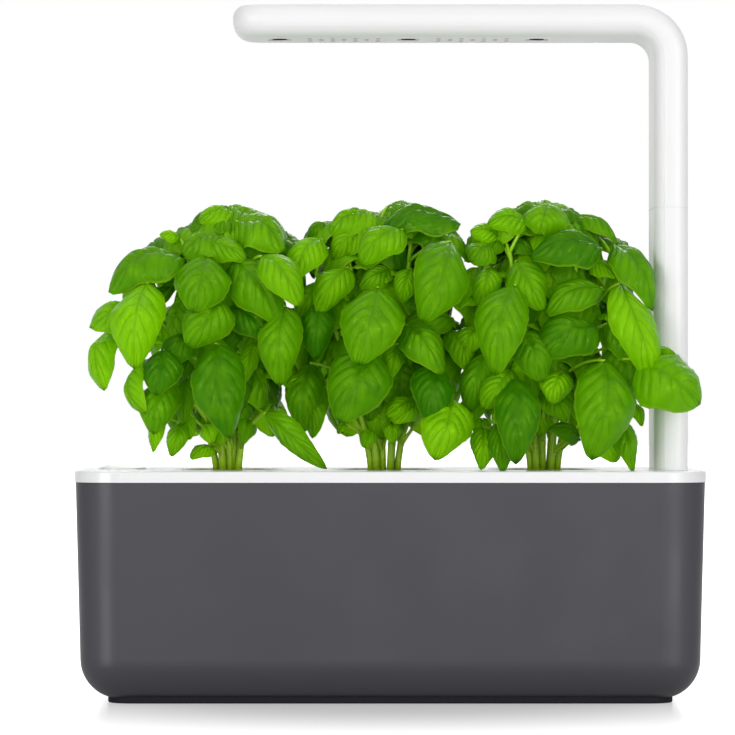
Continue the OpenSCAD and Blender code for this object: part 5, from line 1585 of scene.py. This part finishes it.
@dataclass
class PodFilling:
    """What a pod holds and stands on: its growing medium, paper cover, wick strip and wick pad."""

    side: Side
    axis_x: float
    sides: int = 72
    grit_scale: float = 0.9

    # Growing medium
    soil_low_z: float = 60.9
    soil_top_z: float = 109.7
    soil_low_r: float = 16.9
    soil_top_r: float = 20.6
    soil_floor_shares: tuple[float, ...] = (0.5, 1.0)
    soil_wall_shares: tuple[float, ...] = (0.25, 0.5, 0.75, 0.97)
    soil_top_rings: int = 12
    soil_inset: float = 0.995
    crumb: float = 0.5

    # Paper cover with its printed ring
    label_gap: float = 0.02
    label_t: float = 0.32
    label_r: float = 20.5
    label_middle_r: float = 14.0
    label_hole_r: float = 11.0
    ring_inner: float = 17.2
    ring_outer: float = 18.1

    # Wick strip, with its nap, sway and frayed end
    wick_w: float = 12.0
    wick_t: float = 2.0
    wick_end_z: float = 8.0
    wick_top_z: float = 57.4
    wick_gap: float = 0.2
    wick_rows: int = 40
    wick_columns: int = 12
    wick_inset: float = 0.985
    wick_thin: float = 0.86
    wick_edge: float = 0.3
    wick_edge_power: int = 8
    sway: float = 0.35
    sway_step: float = 0.33
    nap: float = 0.16
    nap_across: float = 5.0
    nap_scale: float = 0.8
    fray: float = 1.8
    fray_across: float = 9.0
    fray_row: float = 3.0
    fray_power: int = 12

    # Pad that the strip hangs from
    pad_t: float = 1.9
    pad_r: float = 18.1
    pad_shares: tuple[float, ...] = (0.2, 0.45, 0.7, 0.9, 1.0)
    pad_edge: float = 0.12
    pad_edge_power: int = 6
    pad_nap: float = 0.05

    def circle(self, skin: Skin, r: float, z: float, rough: float = 0.0) -> list[int]:
        """Adds a ring of points.

        Args:
            skin: the piece's mesh.
            r: the ring's radius.
            z: the ring's height.
            rough: how far noise moves each point.

        Returns:
            The points' numbers.
        """
        ring = []
        for k in range(self.sides):
            angle = FULL_TURN * k / self.sides
            at = Vector((self.axis_x + r * math.cos(angle), r * math.sin(angle), z))
            at.z += noise.noise(at * self.grit_scale) * rough - rough
            ring.append(skin.point(at))
        return ring

    def soil(self, palette: Palette) -> None:
        """Builds the crumbly growing medium.

        Args:
            palette: the finishes.
        """
        skin = Skin()
        bottom = skin.point((self.axis_x, 0, self.soil_low_z))
        rings = [self.circle(skin, self.soil_low_r * s, self.soil_low_z) for s in self.soil_floor_shares]
        for share in self.soil_wall_shares:
            r = self.soil_low_r + (self.soil_top_r - self.soil_low_r) * share
            rings.append(self.circle(skin, r, self.soil_low_z + (self.soil_top_z - self.soil_low_z) * share))
        for k in range(self.soil_top_rings):
            r = self.soil_top_r * (1 - k / self.soil_top_rings) * self.soil_inset
            rings.append(self.circle(skin, r, self.soil_top_z, self.crumb))
        skin.bridge(rings)
        top = skin.point((self.axis_x, 0, self.soil_top_z - self.crumb))
        for k in range(self.sides):
            after = (k + 1) % self.sides
            skin.faces.append((bottom, rings[0][after], rings[0][k]))
            skin.faces.append((top, rings[-1][k], rings[-1][after]))
        name = self.side.value
        settle(skin.build(f"growing_medium_crumbs_{name}", palette[Finish.SOIL]), f"pod_{name}",
               "growing_medium", f"growing_medium_{name}")

    def label(self, palette: Palette) -> None:
        """Builds the paper cover with its printed ring.

        Args:
            palette: the finishes.
        """
        skin = Skin()
        low = self.soil_top_z + self.label_gap
        radii = (self.label_hole_r, self.label_middle_r, self.ring_inner, self.ring_outer, self.label_r)
        upper = [self.circle(skin, r, low + self.label_t) for r in radii]
        lower = [self.circle(skin, r, low) for r in reversed(radii)]
        skin.bridge([*upper, *lower, upper[0]])
        name = self.side.value
        piece = skin.build(f"pod_cover_{name}", palette[Finish.LABEL], smooth=False)
        piece.data.materials.append(palette[Finish.LABEL_RING])
        for face in piece.data.polygons:
            reach = math.hypot(face.center.x / MM - self.axis_x, face.center.y / MM)
            if face.normal.z > 0.5 and self.ring_inner < reach < self.ring_outer:
                face.material_index = 1
        settle(piece, f"pod_{name}", "label_paper", f"pod_label_{name}")

    def wick_ring(self, strip: Skin, row: int) -> list[int]:
        """Adds one ring of points round the wick strip.

        Args:
            strip: the strip's mesh.
            row: the ring's number from the top.

        Returns:
            The points' numbers.
        """
        share = row / self.wick_rows
        top = self.wick_top_z - self.wick_gap
        z = top - (top - self.wick_end_z) * row / self.wick_rows
        sway = self.sway * math.sin(row * self.sway_step + self.axis_x) * share
        steps = [2 * k / self.wick_columns for k in range(self.wick_columns + 1)]
        ring = []
        for across, face in [(step - 1, -1.0) for step in steps] + [(1 - step, 1.0) for step in steps]:
            thin = self.wick_thin * (1.0 - self.wick_edge * abs(across) ** self.wick_edge_power)
            nap = noise.noise(Vector((across * self.nap_across, face, z)) * self.nap_scale) * self.nap
            tuft = abs(noise.noise(Vector((across * self.fray_across, self.fray_row, self.axis_x))))
            fray = tuft * self.fray * share**self.fray_power
            ring.append(strip.point((self.axis_x + across * self.wick_w / 2 * self.wick_inset,
                                     face * (self.wick_t / 2 * thin + nap) + sway, z + fray)))
        return ring

    def wick(self, palette: Palette) -> None:
        """Builds the felt strip with its frayed end, and the pad that it hangs from.

        Args:
            palette: the finishes.
        """
        strip, pad, name = Skin(), Skin(), self.side.value
        strip.solid([self.wick_ring(strip, row) for row in range(self.wick_rows + 1)][::-1])
        low, high = self.wick_top_z, self.wick_top_z + self.pad_t
        lower = [self.circle(pad, self.pad_r * s, low) for s in self.pad_shares]
        upper = []
        for s in reversed(self.pad_shares):
            z = high - self.pad_edge * s**self.pad_edge_power
            upper.append(self.circle(pad, self.pad_r * s, z, self.pad_nap))
        pad.solid([*lower, *upper])
        felt = palette[Finish.FELT]
        hung = settle(strip.build(f"wick_strip_{name}", felt), "tray", "wick_felt", f"wick_{name}")
        laid = settle(pad.build(f"wick_pad_{name}", felt), "tray", "wick_felt")

    def build(self, palette: Palette) -> None:
        """Builds the pod's filling.

        Args:
            palette: the finishes.
        """
        self.soil(palette)
        self.label(palette)
        self.wick(palette)


# ------------------------------------------------------------------ housings


@dataclass
class PartingLines:
    """Fine shadow lines where the lamp's shells and the extension arm meet."""

    half_width: float = 25.27
    post_x: float = 131.7
    face_x: float = 135.15
    low_z: float = 110.9
    split_z: float = 237.0
    above_split: float = 0.3
    below_split: float = 0.6
    bend_x: float = 117.4
    bend_z: float = 309.5
    bend_r: float = 14.3
    head_z: float = 323.8
    end_x: float = -75.27
    corner_r: float = 14.27
    line_r: float = 0.08
    line_sides: int = 6
    post_steps: int = 6
    arm_steps: int = 8
    joint_r: float = 0.16
    joint_drop: float = 0.12
    joint_steps: int = 8
    arm_t: float = 16.5
    arm_w: float = 52.0
    inner_r: float = 8.2
    outer_r: float = 7.0

    @staticmethod
    def corner(cx: float, cy: float, r: float, start: float, steps: int = 10) -> list[Place]:
        """Draws a quarter circle.

        Args:
            cx: first coordinate of its centre.
            cy: second coordinate of its centre.
            r: its radius.
            start: its first angle in degrees.
            steps: number of steps along it.

        Returns:
            Its points.
        """
        angles = [math.radians(start + 90 * k / steps) for k in range(steps + 1)]
        return [(cx + r * math.cos(angle), cy + r * math.sin(angle)) for angle in angles]

    def upright(self, side: float, low: float, rise: float, steps: int, count: int) -> list[Vector]:
        """Draws a line up the post.

        Args:
            side: -1 for the front, 1 for the back.
            low: height of its first point.
            rise: how far all its steps rise.
            steps: number of steps in that rise.
            count: number of points that are drawn.

        Returns:
            Its points.
        """
        return [Vector((self.post_x, side * self.half_width, low + rise * k / steps)) for k in range(count)]

    def lamp_line(self, palette: Palette) -> None:
        """Builds the lamp's parting line, up the post, round the bend and round the head's end.

        Args:
            palette: the finishes.
        """
        front = self.upright(-1.0, self.split_z + self.above_split, self.bend_z - self.split_z,
                             self.post_steps, self.post_steps)
        front += [Vector((self.bend_x + x, -self.half_width, self.bend_z + z))
                  for x, z in self.corner(0, 0, self.bend_r, 0)]
        inner, turn = self.half_width - self.corner_r, self.end_x + self.corner_r
        front += [Vector((turn - (x - turn), y, self.head_z))
                  for x, y in self.corner(turn, -inner, self.corner_r, 270)]
        skin = Skin()
        back = [Vector((p.x, -p.y, p.z)) for p in reversed(front)]
        skin.tube([*front, *back], lambda s: self.line_r, self.line_sides)
        settle(skin.build("lamp_parting_line", palette[Finish.SEAM]), "lamp", "lamp_plastic")

    def arm_lines(self, palette: Palette) -> None:
        """Builds the extension arm's parting lines and the ring where the lamp stands on it.

        Args:
            palette: the finishes.
        """
        skin = Skin()
        for side in (-1.0, 1.0):
            route = self.upright(side, self.low_z, self.split_z - self.below_split - self.low_z,
                                 self.arm_steps, self.arm_steps + 1)
            skin.tube(route, lambda s: self.line_r, self.line_sides)
        half_t, half_w = self.arm_t / 2, self.arm_w / 2
        ring = []
        for cx, cy, r, start in ((half_t - self.outer_r, half_w - self.outer_r, self.outer_r, 0),
                                 (self.inner_r - half_t, half_w - self.inner_r, self.inner_r, 90),
                                 (self.inner_r - half_t, self.inner_r - half_w, self.inner_r, 180),
                                 (half_t - self.outer_r, self.outer_r - half_w, self.outer_r, 270)):
            ring += [Vector((self.face_x + x, y, self.split_z - self.joint_drop))
                     for x, y in self.corner(cx, cy, r, start, self.joint_steps)]
        skin.tube([*ring, ring[0], ring[1]], lambda s: self.joint_r, self.line_sides)
        settle(skin.build("extension_parting_lines", palette[Finish.SEAM]), "extension", "lamp_plastic")

    def build(self, palette: Palette) -> None:
        """Builds every line."""
        self.lamp_line(palette)
        self.arm_lines(palette)


@dataclass
class VentShadeDiscs:
    """Dark felt-like discs inside the vent holes under the lamp: painted shade that makes the holes read
    dark.
    """

    groups: tuple[float, float] = (-22.3, 40.1)
    columns: int = 7
    pitch: float = 5.5
    row: float = 8.0
    r: float = 1.25
    low_z: float = 319.03
    high_z: float = 319.55
    sides: int = 20

    def disc(self, skin: Skin, x: float, y: float) -> None:
        """Adds one round dark disc.

        Args:
            skin: the piece's mesh.
            x: place of its middle along the lamp.
            y: place of its middle across the lamp.
        """
        angles = [FULL_TURN * k / self.sides for k in range(self.sides)]
        skin.solid([[skin.point((x + self.r * math.cos(a), y + self.r * math.sin(a), z)) for a in angles]
                    for z in (self.low_z, self.high_z)])

    def build(self, palette: Palette) -> None:
        """Builds the dark discs as one piece.

        Args:
            palette: the finishes.
        """
        skin = Skin()
        for middle in self.groups:
            for i in range(self.columns):
                x = middle + (i - (self.columns - 1) / 2) * self.pitch
                for y in (-self.row, 0.0, self.row) if i % 2 == 0 else (-self.row / 2, self.row / 2):
                    self.disc(skin, x, y)
        # The discs are painted shade inside the vent holes.
        settle(skin.build("vent_shade_discs", palette[Finish.SCREEN], smooth=False), "lamp", "lamp_plastic")


@dataclass
class Housings:
    """The CAD nodes whose shape stays, with the finish that each takes."""

    each_pod: tuple[tuple[Finish, str], ...] = ((Finish.INNER, "cup"), (Finish.POD, "pod_shell"))
    nodes: tuple[tuple[Finish, tuple[str, ...]], ...] = (
        (Finish.TUB, ("tub",)),
        (Finish.PLINTH, ("base_plinth",)),
        (Finish.PADS, ("anti_slip_pads",)),
        (Finish.TRAY, ("tray",)),
        (Finish.CAP, ("float_cap",)),
        (Finish.INNER, ("float_body", "float_cage", "socket_housing", "socket_cover", "extension_plug",
                        "extension_socket", "lamp_plug")),
        (Finish.BLACK, ("inlet_housing", "power_jack", "timer_board_parts")),
        (Finish.BEZEL, ("light_baffles",)),
        (Finish.BRASS, ("jack_pin", "socket_contacts", "extension_plug_contacts",
                        "extension_socket_contacts", "lamp_plug_contacts")),
        (Finish.STEEL, ("socket_screws", "lamp_screws")),
        (Finish.WIRE, ("inlet_wires", "extension_wires", "lamp_wires")),
        (Finish.LAMP, ("extension_outer_shell", "extension_inner_shell", "lamp_outer_shell",
                       "lamp_inner_cover")),
        (Finish.PANE, ("light_windows",)),
        (Finish.LIGHT_BOARD, ("light_board",)),
        (Finish.TIMER_BOARD, ("timer_board",)),
        (Finish.EMITTER, ("light_emitters",)),
        (Finish.SPREADER, ("heat_spreader",)),
    )

    def build(self, palette: Palette) -> None:
        """Dresses every node.

        Args:
            palette: the finishes.
        """
        for finish, names in self.nodes:
            dress(palette[finish], *names)
        for finish, kind in self.each_pod:
            dress(palette[finish], *(f"{kind}_{side.value}" for side in Side))


# ------------------------------------------------------------------ studio


@dataclass(frozen=True)
class SoftLamp:
    """A soft square lamp: its place, the point that it faces and its side in metres, and its watts."""

    name: str
    at: Point
    towards: Point
    size: float
    power: float

    def build(self) -> None:
        """Hangs the lamp."""
        light = bpy.data.lights.new(self.name, "AREA")
        light.size = self.size
        light.energy = self.power
        piece = bpy.data.objects.new(self.name, light)
        piece.location = self.at
        piece.rotation_euler = (Vector(self.towards) - Vector(self.at)).to_track_quat("-Z", "Y").to_euler()
        stand(piece)


@dataclass
class Studio:
    """Pale floor, white backdrop, soft lamps and the camera."""

    camera_at: Point = (-10.9, -2186.0, 151.4)
    camera_lens: float = 220.4
    camera_pitch: float = 90.223
    film_width: float = 36.0
    view_end: float = 100.0
    white: Colour = (1.0, 1.0, 1.0)
    sky: float = 0.52
    flank: float = 0.15
    floor_half: float = 9.0
    floor_colour: Colour = (0.72, 0.72, 0.72)
    floor_roughness: float = 0.13
    floor_specular: float = 0.14
    floor_gloss: float = 0.3
    # Painted shadow round the object: the floor's glow fades between these distances in metres, down to the
    # strength below.
    near: float = 0.08
    far: float = 0.32
    glow_in_painted_shadow: float = 0.35
    lamps: tuple[SoftLamp, ...] = (
        SoftLamp("key", (-1.4, -1.6, 0.3), (0, 0, 0.16), 1.0, 17.0),
        SoftLamp("fill", (1.4, -1.7, 0.25), (0, 0, 0.14), 1.2, 21.0),
        SoftLamp("front", (0.25, -2.3, 0.2), (0, 0, 0.14), 1.0, 6.0),
        SoftLamp("top", (-0.2, 0.1, 1.9), (0, 0, 0.16), 1.5, 1.5),
        SoftLamp("back", (0.1, 1.4, 1.1), (0, 0, 0.2), 1.0, 10.0),
    )

    @staticmethod
    def background_ray(n: Nodes) -> Output:
        """Picks the rays that show the background.

        Args:
            n: writer of the node tree.

        Returns:
            The socket that is 1 for a ray from the camera, a gloss or a clear pane.
        """
        path = n.add("LightPath").outputs
        seen = n.most(path["Is Camera Ray"], path["Is Glossy Ray"])
        return n.most(seen, path["Is Transmission Ray"])

    def surroundings(self, n: Nodes) -> Output:
        """Works out how bright the background is: white, but dimmer to both sides where a gloss shows it.

        Args:
            n: writer of the node tree.

        Returns:
            The brightness's socket.
        """
        _, depth, height = n.parts(n.add("TexCoord").outputs["Generated"])
        level = n.ramp(n.math("ABSOLUTE", height), low=0.75, high=0.35)
        beside = n.times(n.ramp(depth, low=-0.1, high=0.12), n.ramp(depth, low=0.88, high=0.7))
        dimmed = n.times(n.add("LightPath").outputs["Is Glossy Ray"], n.times(level, beside))
        return n.minus(1.0, n.times(dimmed, 1.0 - self.flank))

    def world(self) -> None:
        """Sets the soft surrounding light, white where the background shows."""
        world = bpy.data.worlds.new("studio")
        world.use_nodes = True
        world.node_tree.nodes.clear()
        n = Nodes(world.node_tree)
        light, shown = (n.fill(n.add("Background"), Color=opaque(self.white), Strength=strength).outputs[0]
                        for strength in (self.sky, self.surroundings(n)))
        both = n.blend(self.background_ray(n), light, shown)
        n.link(both, n.add("OutputWorld").inputs["Surface"])
        bpy.context.scene.world = world

    def floor_paint(self) -> Material:
        """Makes the floor's paint: it glows white to the camera, but less so near the object, which paints a
        shadow round it.

        Returns:
            The material.
        """
        n = MaterialTree("floor_paint")
        n.surface(Base_Color=opaque(self.floor_colour), Roughness=self.floor_roughness,
                  Specular_IOR_Level=self.floor_specular)
        away = n.add("VectorMath", operation="LENGTH")
        n.link(n.place(), away.inputs[0])
        # Painted shadow: the glow weakens towards the object, so the floor is darker round it whatever the
        # lamps do.
        pale = n.ramp(away.outputs["Value"], self.near, self.far, to_low=self.glow_in_painted_shadow)
        glossy = n.times(n.add("LightPath").outputs["Is Glossy Ray"], 1.0 - self.floor_gloss)
        strength = n.times(self.background_ray(n), n.minus(pale, n.times(glossy, pale)))
        glow = n.fill(n.add("Emission"), Color=opaque(self.white), Strength=strength)
        both = n.add("AddShader")
        n.link(n.shader.outputs["BSDF"], both.inputs[0])
        n.link(glow.outputs[0], both.inputs[1])
        n.show(both.outputs[0])
        return n.material

    def floor(self) -> None:
        """Builds the pale floor, which keeps the object's shadow."""
        half = self.floor_half
        corners = [(-half, -half, 0), (half, -half, 0), (half, half, 0), (-half, half, 0)]
        mesh = bpy.data.meshes.new("floor")
        mesh.from_pydata(corners, [], [(0, 1, 2, 3)])
        mesh.materials.append(self.floor_paint())
        stand(bpy.data.objects.new("floor", mesh))

    def camera(self) -> None:
        """Sets the camera: a long lens near the level of the tray."""
        data = bpy.data.cameras.new("camera")
        data.sensor_width = self.film_width
        data.lens = self.camera_lens
        data.clip_end = self.view_end
        piece = stand(bpy.data.objects.new("camera", data))
        piece.location = Vector(self.camera_at) * MM
        piece.rotation_euler = (math.radians(self.camera_pitch), 0.0, 0.0)
        bpy.context.scene.camera = piece

    def build(self) -> None:
        """Builds the studio."""
        bpy.context.scene.view_settings.view_transform = "Standard"
        self.world()
        self.floor()
        for lamp in self.lamps:
            lamp.build()
        self.camera()


def main() -> None:
    """Builds the studio, dresses the frame and adds the plants, pods and fine lines."""
    logging.basicConfig(level=logging.INFO, format="%(name)s: %(message)s")
    Studio().build()
    palette = make_palette(Effects())
    Housings().build(palette)
    PartingLines().build(palette)
    VentShadeDiscs().build(palette)
    plants = (
        BasilPlant(Side.LEFT, axis_x=-78.5, stems=LEFT_STEMS, leaves=LEFT_LEAVES, spread=(55.0, 47.0),
                   skyline=LEFT_SKYLINE),
        BasilPlant(Side.MIDDLE, axis_x=-2.0, stems=MIDDLE_STEMS, leaves=MIDDLE_LEAVES, spread=(47.0, 47.0),
                   skyline=MIDDLE_SKYLINE),
        BasilPlant(Side.RIGHT, axis_x=74.5, stems=RIGHT_STEMS, leaves=RIGHT_LEAVES, spread=(46.0, 49.0),
                   skyline=RIGHT_SKYLINE),
    )
    for plant in plants:
        plant.build(palette)
        PodFilling(plant.side, plant.axis_x).build(palette)


if __name__ == "__main__":
    main()
